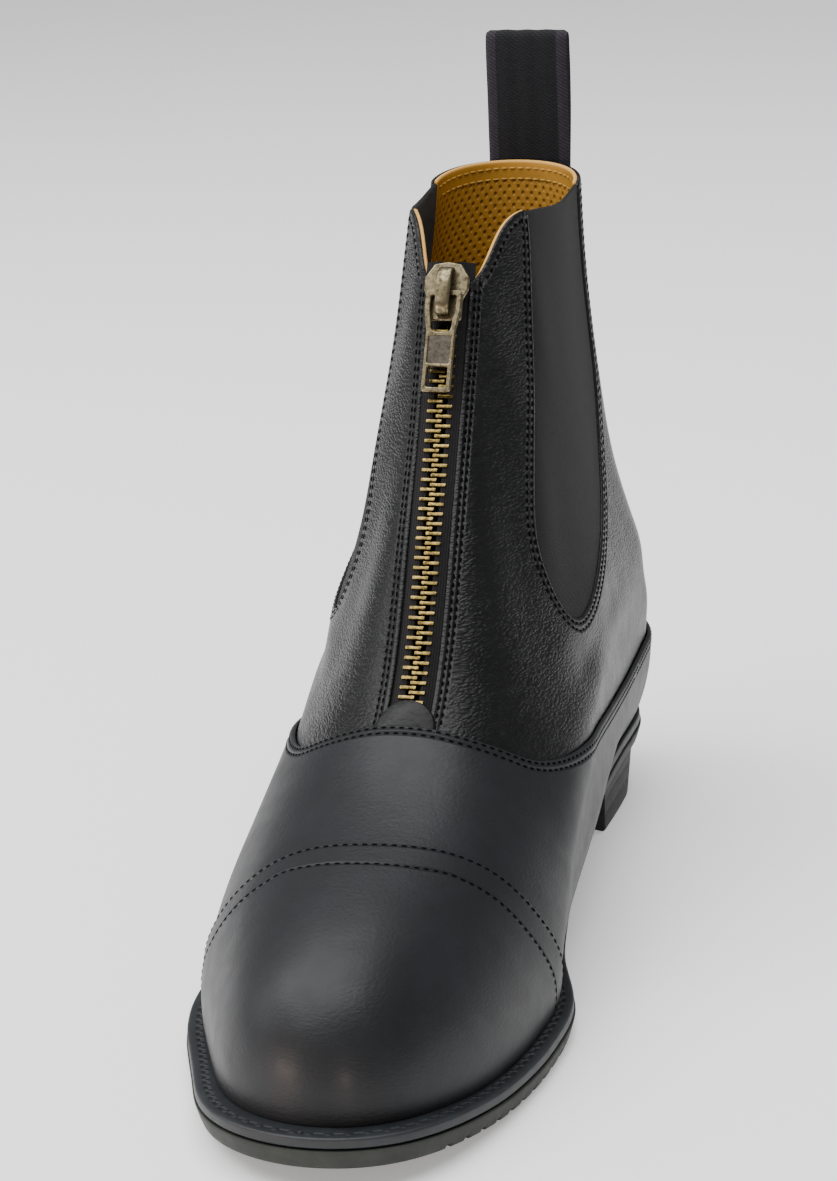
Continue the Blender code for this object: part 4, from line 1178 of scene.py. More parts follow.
@dataclass(frozen=True)
class ClothFinish:
    """Woven polyester tape or webbing: the weave scatters light, so it stays dull."""

    name: str
    colour: str
    light: str
    scale: float
    turn: float
    depth: float

    def make(self) -> bpy.types.Material:
        """Build the material from diagonal ribs crossed by a finer weft.

        Returns:
            The material.
        """
        s = Shader(self.name, self.colour, 0.85, specular=0.2)
        s.feed(s.bsdf, {"Sheen Weight": 0.06, "Sheen Roughness": 0.5})
        uv = s.add("UVMap")
        turned = s.add("Mapping", {"Vector": uv, "Rotation": (0, 0, math.radians(self.turn))})
        ribs = s.add("TexWave", {"Vector": turned, "Scale": self.scale, "Distortion": 0.5,
                                 "Detail": 1.0}, "Fac", wave_type="BANDS", bands_direction="X")
        weft = s.add("TexWave", {"Vector": uv, "Scale": self.scale * 1.6, "Distortion": 1.0},
                     "Fac", wave_type="BANDS", bands_direction="Y")
        s.relief(ribs, self.depth)
        s.relief(weft, self.depth * 0.4)
        lint = s.add("TexNoise", {"Scale": 500.0, "Detail": 3.0})
        # colour follows the ribs: the grooves between them are painted darker, painted shade, and
        # the crests take a lighter tone that varies at random with the lint noise
        s.tint((self.colour, self.light), s.add("Math", (ribs, lint), operation="MULTIPLY"))
        return s.finish()


@dataclass(frozen=True)
class RubberFinish:
    """Moulded rubber, finely spark-eroded, and waxed thread: matte, a little dusty."""

    name: str
    colour: str
    dust: str
    roughness: float
    shine: float = 0.25
    stitched: bool = False
    pitch: float = 0.0032

    def make(self) -> bpy.types.Material:
        """Build the material; a welt gets the row of stitches pressed into its top.

        Returns:
            The material.
        """
        s = Shader(self.name, self.colour, self.roughness, specular=self.shine)
        if self.stitched:
            # one stitch every 3.2 mm in a groove that lies 3.2 mm in from the edge
            run = s.add("Attribute", out="Fac", attribute_name="run")
            turn = s.add("Math", (run, 2 * math.pi / self.pitch), operation="MULTIPLY")
            wave = s.add("Math", (s.add("Math", (turn,), operation="SINE"), -0.2),
                         operation="MAXIMUM")
            row = s.groove("edge", (self.pitch,), 0.0009)
            s.relief(s.add("Math", (wave, row), operation="MULTIPLY"), 0.00050)
            s.relief(s.add("Math", (1.0, row), operation="SUBTRACT"), 0.00020)
        s.relief(s.add("TexNoise", {"Scale": 2200.0, "Detail": 4.0}), 0.00004)
        s.relief(s.add("TexNoise", {"Scale": 150.0, "Detail": 3.0}), 0.00012, 0.5)
        dust = s.add("TexNoise", {"Scale": 85.0, "Detail": 6.0, "Roughness": 0.7})
        s.tint((self.colour, self.dust), s.add("MapRange", (dust, 0.42, 0.72, 0.0, 1.0)))
        s.vary(s.add("TexNoise", {"Scale": 300.0, "Detail": 3.0}), self.roughness - 0.08,
               self.roughness + 0.08)
        return s.finish()


@dataclass(frozen=True)
class BrassFinish:
    """Antique brass: plated, darkened and rubbed bright, so its sheen comes in patches."""

    name: str
    colour: str
    dark: str
    roughness: float

    def make(self) -> bpy.types.Material:
        """Build the material.

        Returns:
            The material.
        """
        s = Shader(self.name, self.colour, self.roughness, 1.0)
        # tarnish in patches about 1 mm across dulls the reflections
        patches = s.add("TexNoise", {"Scale": 900.0, "Detail": 4.0, "Roughness": 0.6})
        tarnish = s.add("MapRange", (patches, 0.35, 0.70, 0.0, 1.0))
        s.tint((self.colour, self.dark), tarnish)
        s.vary(tarnish, self.roughness - 0.06, self.roughness + 0.16)
        s.relief(s.add("TexNoise", {"Scale": 3000.0}), 0.00001)
        return s.finish()


@dataclass(frozen=True)
class StitchRows:
    """Distances of the stitch rows from each edge, for the thread and the grooves under it."""

    slot: tuple[float, ...] = (0.0017, 0.0030)
    gore: tuple[float, ...] = (0.0013, 0.0030)
    vamp: tuple[float, ...] = (0.0010, 0.0026)
    cap: tuple[float, ...] = (0.0009, 0.0076)
    collar: tuple[float, ...] = (0.0022,)
    strip: tuple[float, ...] = (0.0016,)
    lining: tuple[float, ...] = (0.0022, 0.0050)


class Finishes:
    """Every material of the boot."""

    def __init__(self) -> None:
        """Make them all once."""
        rows = StitchRows()
        quarter_rows = (("slot", rows.slot), ("gore", rows.gore), ("collar", rows.collar))
        self.quarter = LeatherFinish("quarter_leather_milled", "#08090a", "#0e0f11", 0.38, 0.23,
                                     0.05, 1350.0, 0.00019, quarter_rows).make()
        # the vamp's and the cap's base colours are lighter than the quarters' near black: painted
        # sheen, standing for the broad reflection of the overhead light on these upward-facing
        # pieces
        self.vamp = LeatherFinish("vamp_leather_polished_painted_sheen", "#15171a", "#1b1d21", 0.46, 0.26,
                                  0.03, 1300.0, 0.00004, (("vamp", rows.vamp),)).make()
        self.cap = LeatherFinish("cap_leather_polished_painted_sheen", "#15171a", "#1b1d21", 0.45, 0.26,
                                 0.05, 1300.0, 0.00003, (("cap", rows.cap),)).make()
        self.strip = LeatherFinish("strip_leather_milled", "#090a0b", "#101112", 0.42, 0.20,
                                   0.05, 1000.0, 0.00008, ()).make()
        self.lining = LiningFinish().make()
        self.elastic = ElasticFinish().make()
        self.insole = LiningFinish("insole_leather_smooth").make()
        self.thread = RubberFinish("thread_waxed_black", "#020203", "#060607", 0.9, 0.05).make()
        self.ochre_thread = RubberFinish("thread_waxed_ochre", "#a87c30", "#c49a50", 0.7).make()
        self.tape = ClothFinish("zip_tape_woven", "#0b0a0c", "#1a181b", 520.0, 0.0, 0.00010).make()
        self.webbing = ClothFinish("webbing_twill", "#0b0c0f", "#1b1d23", 390.0, 58.0,
                                   0.00014).make()
        self.webbing_edge = ClothFinish("webbing_twill_edge", "#1c1a20", "#37323e", 390.0, 58.0,
                                        0.00012).make()
        self.welt = RubberFinish("welt_rubber_moulded", "#181b1e", "#23272b", 0.50, 0.4,
                                 True).make()
        self.outsole = RubberFinish("outsole_rubber_moulded", "#262926", "#343733", 0.62).make()
        self.heel = RubberFinish("heel_rubber_moulded", "#0b0c0c", "#131414", 0.60).make()
        self.teeth = BrassFinish("teeth_antique_brass", "#8f7b48", "#463a20", 0.30).make()
        self.slider = BrassFinish("slider_antique_brass", "#8b8066", "#453d2c", 0.30).make()
        self.recess = BrassFinish("tab_recess_brass", "#5a544c", "#3a362f", 0.42).make()


# Pieces


@dataclass
class UpperSet:
    """Quarters, vamp, toe cap, back strip, elastic panels, lining and their stitching."""

    skin: Skin
    finish: Finishes
    slot_half: float = 0.0052
    rim: float = 0.0007
    rows: StitchRows = StitchRows()
    vamp_raise: float = 0.0015
    vamp_edge: float = 0.0009
    cap_raise: float = 0.0023
    cap_edge: float = 0.0007
    strip_raise: float = 0.0013
    strip_edge: float = 0.0008
    strip_half: float = 0.010
    strip_low: float = 0.046
    strip_high: float = 0.147
    elastic_sink: float = 0.0007
    elastic_tuck: float = 0.0014
    lining_edge: float = 0.0004
    far: float = 0.05

    def build(self) -> None:
        """Cut every piece from the skin and sew it."""
        skin, size = self.skin, self.skin.last.size
        outlines = Outlines(skin.last)
        off = skin.sideways()
        along = skin.flat[..., 1]
        vamp = skin.side_distance(outlines.vamp())
        cap = skin.side_distance(outlines.cap(), skin.last.cap_skew)
        gore = skin.side_distance(outlines.gore())
        collar = skin.side_distance(outlines.below_collar())
        slot_raw = np.where(ridge_side(skin), np.abs(off) - self.slot_half, self.far)
        foot = (size.zip_foot - along) * 0.75
        slot = np.maximum(skin.field(slot_raw), foot)
        slot = np.where(ridge_side(skin), slot, self.far)
        self.fields = {"vamp": vamp, "cap": cap, "gore": gore, "collar": collar, "slot": slot}
        self._quarters()
        self._vamp()
        self._cap()
        self._strip()
        self._gores()
        self._threads()

    def _quarters(self) -> None:
        """Quarters with the slot for the zip, the side cut-outs and the rounded collar."""
        f, size, rim = self.fields, self.skin.last.size, self.rim
        region = np.minimum.reduce([f["collar"] - rim, -f["gore"] - rim, f["slot"] - rim,
                                    0.004 - f["vamp"]])
        extra = {"slot": f["slot"], "gore": -f["gore"], "collar": f["collar"]}
        patch = Patch.cut(self.skin, region, extra)
        piece = Leather("quarters", self.finish.quarter, 0.0, rim, 6, -size.wall * 0.55)
        quarters = piece.build(self.skin, patch)
        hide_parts("upper")
        inside = np.minimum.reduce([f["collar"] - self.lining_edge,
                                    -f["gore"] - self.lining_edge, f["slot"] - size.gap])
        patch = Patch.cut(self.skin, inside, {"collar": f["collar"], "slot": f["slot"]}).turned()
        lining = Leather("lining", self.finish.lining, size.wall, self.lining_edge, 4,
                         size.wall * 0.5)
        lining.build(self.skin, patch)

    def _vamp(self) -> None:
        """Vamp with its raised, rounded edge."""
        f = self.fields
        # 6 mm of the vamp run on under the cap
        region = np.minimum(f["vamp"] - self.vamp_edge, 0.006 - f["cap"])
        patch = Patch.cut(self.skin, region, {"vamp": f["vamp"]})
        vamp = Leather("vamp_leather", self.finish.vamp, self.vamp_raise, self.vamp_edge,
                       5).build(self.skin, patch)
        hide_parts("vamp")

    def _cap(self) -> None:
        """Toe cap."""
        f = self.fields
        patch = Patch.cut(self.skin, f["cap"] - self.cap_edge, {"cap": f["cap"]})
        cap = Leather("toe_cap_leather", self.finish.cap, self.cap_raise, self.cap_edge,
                      5).build(self.skin, patch)
        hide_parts("toe_cap")

    def _strip(self) -> None:
        """Strip up the back seam."""
        skin, size = self.skin, self.skin.last.size
        behind = skin.flat[..., 1] > 0.8 * size.length
        width = np.where(behind, self.strip_half - np.abs(skin.flat[..., 0]), -self.far)
        low = skin.flat[..., 2] - self.strip_low
        high = self.strip_high - skin.flat[..., 2]
        level = np.minimum.reduce([skin.field(width), low, high])
        self.fields["strip"] = level
        patch = Patch.cut(skin, level - self.strip_edge, {"strip": level})
        strip = Leather("back_strip_leather", self.finish.strip, self.strip_raise,
                        self.strip_edge, 4).build(skin, patch)
        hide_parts("back_strip")

    def _gores(self) -> None:
        """Elastic panels, sunk a little under the leather's edge."""
        f, size = self.fields, self.skin.last.size
        for name, sign in (("gore_medial", 1), ("gore_lateral", -1)):
            mask = np.where(self.skin.sideways() * sign > 0.002, 1.0, -1.0)
            region = np.minimum.reduce([f["gore"] + self.elastic_tuck, f["collar"] - 0.0012, mask])
            patch = Patch.cut(self.skin, region, {"gore": f["gore"]})
            panel = Leather(name + "_elastic", self.finish.elastic, -self.elastic_sink,
                            0.0005, 5, -size.wall + 0.0002).build(self.skin, patch)
            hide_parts(name)
            back = Patch.cut(self.skin, region, {}).turned()
            Leather(name + "_inside", self.finish.elastic, size.wall - 0.0001, 0.0003, 2).build(
                self.skin, back)

    def _threads(self) -> None:
        """Every row of stitches that shows."""
        f, skin = self.fields, self.skin
        shown = np.minimum.reduce([f["collar"] - 0.0015, -f["vamp"] + 0.0002])
        open_gore = -f["gore"] - 0.0004
        beside = np.minimum(shown, f["slot"])
        clear = np.minimum(shown, f["slot"] - 0.006)
        on_vamp, everywhere = 0.001 - f["cap"], np.ones_like(f["cap"])
        edge = np.minimum(open_gore - 0.002, f["slot"] - 0.004)
        plan = [(f["slot"], self.rows.slot, beside, 0.0),
                (-f["gore"], self.rows.gore, clear, 0.0),
                (f["collar"], self.rows.collar, edge, 0.0),
                (f["vamp"], self.rows.vamp, on_vamp, self.vamp_raise),
                (f["cap"], self.rows.cap, everywhere, self.cap_raise),
                (f["strip"], self.rows.strip, -f["vamp"] - 0.0002, self.strip_raise)]
        rows = [(level_lines(skin, distance - place, mask), height)
                for distance, places, mask, height in plan for place in places]
        Thread("stitching", self.finish.thread).build(skin, rows)
        size = skin.last.size
        behind = np.where(skin.flat[..., 1] > 0.7 * size.length, -f["gore"] - 0.002, -1.0)
        rows = [([np.hstack([line[:, :3], -line[:, 3:]]) for line in
                  level_lines(skin, f["collar"] - place, behind)], size.wall + 0.0002)
                for place in self.rows.lining]
        Thread("lining_stitching", self.finish.ochre_thread, 0.0024, 0.0017).build(skin, rows)


def ridge_side(skin: Skin) -> np.ndarray:
    """True on the half of the grid's columns that lies nearer the ridge than the back.

    Args:
        skin: The skin.

    Returns:
        Flags on its grid.
    """
    count = skin.columns
    column = np.arange(count)
    nearer = (column < count // 4) | (column > 3 * count // 4)
    return np.broadcast_to(nearer, skin.flat.shape[:2])


@dataclass
class ZipFrame:
    """Axes of the zip at a length up the ridge, in the part's own frame."""

    last: Last
    length: float
    lift: float = 0.0

    def matrix(self) -> Matrix:
        """Matrix whose X is sideways, Y up the zip and Z out of the leather.

        Returns:
            The matrix.
        """
        origin, normal, direction = self.last.zip_frame(self.length)
        place = self.last.world(origin + normal * self.lift)
        return Matrix([[(1.0, 0.0, 0.0)[i], direction[i], normal[i], place[i]] for i in range(3)]
                      + [[0, 0, 0, 1]])

    def point(self, x: float, up: float, out: float) -> np.ndarray:
        """Point given in the frame's own axes."""
        return np.array(self.matrix() @ Vector((x, up, out)))


def rounded_polygon(corners: Sequence[tuple[float, float, float]], steps: int = 5
                    ) -> list[tuple[float, float]]:
    """Round the corners of a polygon.

    Args:
        corners: Corner places with the radius of each.
        steps: Segments of each rounded corner.

    Returns:
        The points of the rounded outline.
    """
    points = []
    count = len(corners)
    for i, (x, y, radius) in enumerate(corners):
        here = Vector((x, y))
        before = (Vector(corners[i - 1][:2]) - here).normalized()
        after = (Vector(corners[(i + 1) % count][:2]) - here).normalized()
        half = before.angle(after) / 2
        cut = radius / max(math.tan(half), 0.05)
        start, end = here + before * cut, here + after * cut
        for k in range(steps + 1):
            t = k / steps
            points.append(tuple(start * (1 - t) ** 2 + here * (2 * t * (1 - t)) + end * t * t))
    return points


def mirrored(corners: Sequence[tuple[float, float, float]], steps: int = 5
             ) -> list[tuple[float, float]]:
    """Rounded outline whose left half mirrors the given right half.

    Args:
        corners: Corners of the right half with the radius of each.
        steps: Segments of each rounded corner.

    Returns:
        The points of the rounded outline.
    """
    left = [(-x, y, radius) for x, y, radius in reversed(corners) if x]
    return rounded_polygon([*corners, *left], steps)


@dataclass
class CastPlate:
    """Flat casting with softly rounded edges and holes, drawn in a plane."""

    name: str
    outlines: Sequence[Sequence[tuple[float, float]]]
    thickness: float
    bevel: float

    def mesh(self, matrix: Matrix) -> tuple[np.ndarray, list[tuple[int, ...]]]:
        """Vertices and faces of the plate, centred on the matrix's plane.

        Args:
            matrix: Place of the plate.

        Returns:
            The vertices and the faces.
        """
        curve = bpy.data.curves.new(self.name, "CURVE")
        curve.dimensions, curve.fill_mode = "2D", "BOTH"
        curve.extrude = self.thickness / 2 - self.bevel
        curve.bevel_depth, curve.bevel_resolution, curve.offset = self.bevel, 2, -self.bevel
        for outline in self.outlines:
            spline = curve.splines.new("POLY")
            spline.points.add(len(outline) - 1)
            spline.use_cyclic_u = True
            for point, (x, y) in zip(spline.points, outline):
                point.co = (x, y, 0, 1)
        obj = bpy.data.objects.new(self.name, curve)
        bpy.context.scene.collection.objects.link(obj)
        bpy.context.view_layer.update()
        made = obj.to_mesh()
        vertices = np.array([matrix @ v.co for v in made.vertices])
        faces = [tuple(p.vertices) for p in made.polygons]
        obj.to_mesh_clear()
        bpy.data.objects.remove(obj, do_unlink=True)
        bpy.data.curves.remove(curve)
        return vertices, faces


def joined(parts: Iterable[tuple[np.ndarray, Sequence[Sequence[int]]]]
           ) -> tuple[np.ndarray, list[tuple[int, ...]]]:
    """Vertices and faces of several meshes as one.

    Args:
        parts: Vertices and faces of each mesh.

    Returns:
        The vertices and the faces.
    """
    vertices, faces, base = [], [], 0
    for some, sides in parts:
        vertices.append(some)
        faces += [tuple(i + base for i in side) for side in sides]
        base += len(some)
    return np.vstack(vertices), faces


def lofted(loops: Sequence[np.ndarray], capped: bool = True
           ) -> tuple[np.ndarray, list[tuple[int, ...]]]:
    """Skin through closed loops of equal length, with a face on each end.

    Args:
        loops: Loops of points.
        capped: Whether both ends get a face.

    Returns:
        The vertices and the faces.
    """
    count = len(loops[0])
    faces = [(i * count + k, i * count + (k + 1) % count, (i + 1) * count + (k + 1) % count,
              (i + 1) * count + k) for i in range(len(loops) - 1) for k in range(count)]
    if capped:
        faces.append(tuple(range(count))[::-1])
        faces.append(tuple((len(loops) - 1) * count + k for k in range(count)))
    return np.vstack(loops), faces


def closing(first: int, count: int, turn: int) -> list[tuple[int, ...]]:
    """Faces across a closed loop, from one side of it to the other.

    Args:
        first: Number of the loop's first vertex.
        count: Vertices in the loop.
        turn: 1 for the lower end, -1 for the upper.

    Returns:
        The faces.
    """
    faces = []
    for k in range(count // 2):
        face = tuple(dict.fromkeys((first + k, first + (k + 1) % count,
                                    first + (count - k - 1) % count,
                                    first + (count - k) % count)))
        if len(face) > 2:
            faces.append(face[::-turn])
    return faces


@dataclass
class Zip:
    """Metal zip: two woven tapes, a chain of single teeth, the slider and its pull tab."""

    last: Last
    finish: Finishes
    pitch: float = 0.00254
    tooth_width: float = 0.00100
    tooth_height: float = 0.0021
    chain_half: float = 0.0029
    tape_recess: float = 0.0007
    tape_thickness: float = 0.0008
    slider_length: float = 0.0150
    slider_top: float = 0.0112
    slider_foot: float = 0.0088
    plate: float = 0.0013
    bridge_width: float = 0.0037
    bridge_above: float = 0.0068
    bridge_below: float = 0.0056
    bar: float = 0.0014
    tab_length: float = 0.0257
    tab_top: float = 0.0091
    tab_foot: float = 0.0074
    tab_thickness: float = 0.0013
    tab_window: float = 0.0086
    foot_window: float = 0.0051
    shoulder: float = 0.0042
    waist: float = 0.0098

    def __post_init__(self) -> None:
        """Work out the places along the ridge."""
        size = self.last.size
        self.start = self.last.ridge_length(size.zip_foot)
        self.collar = self.last.ridge_length(size.collar_front)
        self.top = self.collar - 0.0015
        self.foot = self.top - self.slider_length
        self.axis = self.top - 0.0015 - self.bridge_above
        self.middle = -self.tape_recess - self.tape_thickness / 2
        self.clear = 0.0010 + 2 * size.gap
        self.face = self.middle + self.clear + self.plate

    def build(self) -> None:
        """Build the four kinds of piece."""
        self._tapes()
        self._chain()
        self._slider()
        self._tab()

    def _tapes(self) -> None:
        """Tapes with the corded bead that the teeth grip, run under the leather's edge."""
        thick = self.tape_thickness
        profile = ((0.0001, -1.6), (0.0016, -1.4), (0.0018, 0.10), (0.0023, 0.30), (0.0030, 0.10),
                   (0.0036, -0.30), (0.0046, -0.70), (0.0054, -1.15), (0.0062, -1.70),
                   (0.0054, -2.0), (0.0030, -2.1), (0.0001, -2.2))
        for name, side in (("zip_tape_medial", Side.MEDIAL), ("zip_tape_lateral", Side.LATERAL)):
            loops, uv = [], []
            for length in np.arange(self.start - 0.003, self.top + 0.001, 0.0008):
                frame_here = ZipFrame(self.last, length)
                loops.append(np.array([frame_here.point(side.value * x, 0.0,
                                                        -self.tape_recess + thick * h)
                                       for x, h in profile]))
                uv += [(x, length) for x, _ in profile]
            vertices, faces = lofted(loops)
            if side is Side.MEDIAL:
                faces = [face[::-1] for face in faces]
            tape = add_mesh(name + "_woven", vertices, faces, self.finish.tape, uv=np.array(uv))
            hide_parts(name)

    def _chain(self) -> None:
        """Teeth in turn from the two sides: a clamped foot, a waist and a cupped head."""
        stations = ((1.06, 0.86), (1.02, 1.0), (0.50, 1.0), (0.30, 0.88), (0.12, 0.88),
                    (0.00, 1.05), (-0.20, 1.05), (-0.25, 0.86))
        ring = [(math.cos(a), math.sin(a)) for a in np.linspace(0, 2 * math.pi, 12, False)]
        square = [(math.copysign(abs(c) ** 0.4, c), math.copysign(abs(s) ** 0.4, s))
                  for c, s in ring]
        parts = []
        count = int((self.foot - self.start - 3 * self.last.size.gap) / self.pitch)
        for i in range(count):
            for side, shift in ((1, 0.0), (-1, 0.5)):
                place = self.start + self.last.size.gap + (i + 0.5 + shift) * self.pitch
                frame_here = ZipFrame(self.last, place, self.middle)
                loops = []
                for x, girth in stations:
                    loops.append(np.array([frame_here.point(
                        side * x * self.chain_half, v * girth * self.tooth_width / 2,
                        n * (0.86 + 0.14 * girth) * self.tooth_height / 2) for v, n in square]))
                vertices, faces = lofted(loops)
                parts.append((vertices, [f[::-1] for f in faces] if side > 0 else faces))
        vertices, faces = joined(parts)
        chain = add_mesh("zip_teeth", vertices, faces, self.finish.teeth, sharp=50)
        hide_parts("zip_chain")

    def _slider(self) -> None:
        """Slider body: shield-shaped plates with rounded edges, the post between them and the
        bridge.
        """
        top, foot, half = self.slider_top / 2, self.slider_foot / 2, self.slider_length / 2
        shield = mirrored([(foot, -half, 0.0010), (foot, -0.0020, 0.001), (top, 0.0005, 0.0010),
                           (top, half - 0.0040, 0.0010), (top - 0.0022, half - 0.0006, 0.0008),
                           (0.0, half, 0.0016)])
        middle = (self.top + self.foot) / 2
        parts = []
        for out in (self.clear + self.plate / 2, -self.clear - self.plate / 2):
            matrix = ZipFrame(self.last, middle, self.middle + out).matrix()
            parts.append(CastPlate("slider_plate", [shield], self.plate, 0.00042).mesh(matrix))
        post = mirrored([(0.0012, 0.0, 0.0004), (0.0026, half * 0.76, 0.0006)])
        matrix = ZipFrame(self.last, middle, self.middle).matrix()
        parts.append(CastPlate("slider_post", [post], 2 * self.clear + self.plate, 0.0001
                               ).mesh(matrix))
        parts.append(self._bridge())
        vertices, faces = joined(parts)
        slider = add_mesh("slider_cast", vertices, faces, self.finish.slider, sharp=42)
        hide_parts("zip_slider")

    def _bridge(self) -> tuple[np.ndarray, list[tuple[int, ...]]]:
        """Arched strap over the tab's bar, rounded across like a bent bar.

        Returns:
            The vertices and the faces.
        """
        rise = self.bar + 0.0009
        below, above = self.bridge_below, self.bridge_above
        line = path([(-below + 0.0004, -0.0004), (-below + 0.0004, rise * 0.55),
                     (-below * 0.66, rise + 0.0004), (-0.4 * below, rise + 0.0006),
                     (above * 0.30, rise + 0.0007), (above * 0.68, rise + 0.0002),
                     (above - 0.0008, rise * 0.55), (above - 0.0005, -0.0004)], 44)[1]
        ahead = np.gradient(line, axis=0)
        ahead /= np.linalg.norm(ahead, axis=1, keepdims=True)
        half, thick = self.bridge_width / 2, 0.00058
        section = [(math.copysign(abs(math.cos(a)) ** 0.5, math.cos(a)) * half,
                    math.copysign(abs(math.sin(a)) ** 0.7, math.sin(a)) * thick)
                   for a in np.linspace(0, 2 * math.pi, 20, False)]
        frame_here = ZipFrame(self.last, self.axis, self.face)
        loops = []
        for (v, h), (dv, dh) in zip(line, ahead):
            taper = 1.0 - 0.10 * smoothstep(v, 0.0, -self.bridge_below)
            loops.append(np.array([frame_here.point(x * taper, v - dh * n, h + dv * n)
                                   for x, n in section]))
        return lofted(loops)

    def _tab(self) -> None:
        """Pull tab: waisted shoulders, a bare sunk plate and a window at the foot."""
        top, foot, head = self.tab_top / 2, self.tab_foot / 2, self.bar / 2
        tail = head - self.tab_length
        outline = mirrored([(top, head, 0.0014), (top, -self.shoulder, 0.0022),
                            (foot, -self.waist, 0.0030), (foot, tail, 0.0010)], 6)
        rail = top - 0.0015
        neck = foot - 0.0012
        loop_window = mirrored([(rail, -self.bar / 2, 0.0005), (rail, -0.0044, 0.0012),
                                (neck, -0.0080, 0.0012),
                                (neck, -self.tab_window - 0.0012, 0.0014)], 4)
        low = tail + 0.0013
        window = [(neck, low, 0.0005), (neck, low + self.foot_window, 0.0005)]
        panel_low, panel_high = low + self.foot_window + 0.0008, -self.tab_window - 0.0022
        panel = [(neck + 0.0002, panel_low, 0.0004), (neck + 0.0002, panel_high, 0.0004)]
        matrix = ZipFrame(self.last, self.axis, self.face + self.last.size.gap
                          + self.bar / 2).matrix()
        frame_mesh = CastPlate("tab_frame", [outline, loop_window, mirrored(window),
                                             mirrored(panel)],
                               self.tab_thickness, 0.00032).mesh(matrix)
        tab = add_mesh("tab_cast", *frame_mesh, self.finish.slider, body=TAB_BODY, sharp=42)
        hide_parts("zip_pull")
        wide = [(x * 1.06, y + (0.0002 if y == panel_high else -0.0002), r) for x, y, r in panel]
        plate = CastPlate("tab_plate", [mirrored(wide)], self.tab_thickness * 0.62,
                          0.0001).mesh(matrix)
        add_mesh("tab_bare_plate", *plate, self.finish.recess, body=TAB_BODY, sharp=42)


@dataclass
class PullLoop:
    """Folded webbing loop sewn to the outside of the back."""

    last: Last
    finish: Finishes
    width: float = 0.0220
    shift: float = 0.0014
    thickness: float = 0.0013
    rise: float = 0.0350
    tongue: float = 0.0240
    band: float = 0.0030

    def build(self) -> None:
        """Sweep one strip of webbing up the back, over the fold and down again."""
        seat, t = self.last.size.collar_height, self.thickness
        back = self.last.back
        face = float(np.interp(seat, back[:, 1], back[:, 0])) + self.last.size.gap
        bend = 1.3 * t
        near, far = face + 0.5 * t, face + 0.5 * t + 2 * bend
        fold = [((near + far) / 2 + bend * math.cos(a), seat + self.rise - t / 2 - bend
                 + bend * math.sin(a)) for a in np.linspace(0, math.pi, 9)]
        low = seat - self.tongue
        line = [(float(np.interp(low + k * self.tongue / 4, back[:, 1], back[:, 0]))
                 + self.last.size.gap + 1.5 * t, low + k * self.tongue / 4) for k in range(4)]
        line += [(face + 1.5 * t, seat), (far - 0.0002, seat + 0.012)] + fold
        line += [(near, seat + 0.020), (near, seat + 0.010), (near, seat + 0.002),
                 (near, seat - 0.006)]
        run, line = path(line, 150)
        ahead = np.gradient(line, axis=0)
        ahead /= np.linalg.norm(ahead, axis=1, keepdims=True)
        across = np.linspace(-1, 1, 25)
        loops, uv = [], []
        for length, (y, z), (dy, dz) in zip(run, line, ahead):
            loop, row = [], []
            for x in list(across) + list(across[::-1]):
                top = len(loop) < len(across)
                edge = (1 - abs(x) ** 14) ** 0.5
                ribs = 0.00008 * math.cos(x * self.width * 0.5 * 2 * math.pi / 0.0011)
                out = (t / 2 * edge + ribs * edge) * (1 if top else -1)
                loop.append((self.shift + x * self.width / 2, y - dz * out, z + dy * out))
                row.append((x * self.width / 2, length))
            loops.append(self.last.world(np.array(loop)))
            uv += row
        vertices, faces = lofted(loops)
        webbing = add_mesh("webbing_loop", vertices, faces, self.finish.webbing, uv=np.array(uv))
        webbing.data.materials.append(self.finish.webbing_edge)
        inner = self.width / 2 - self.band
        for polygon in webbing.data.polygons:
            middle = sum(uv[v][0] for v in polygon.vertices) / len(polygon.vertices)
            polygon.material_index = int(abs(middle) > inner)
        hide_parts("pull_loop")


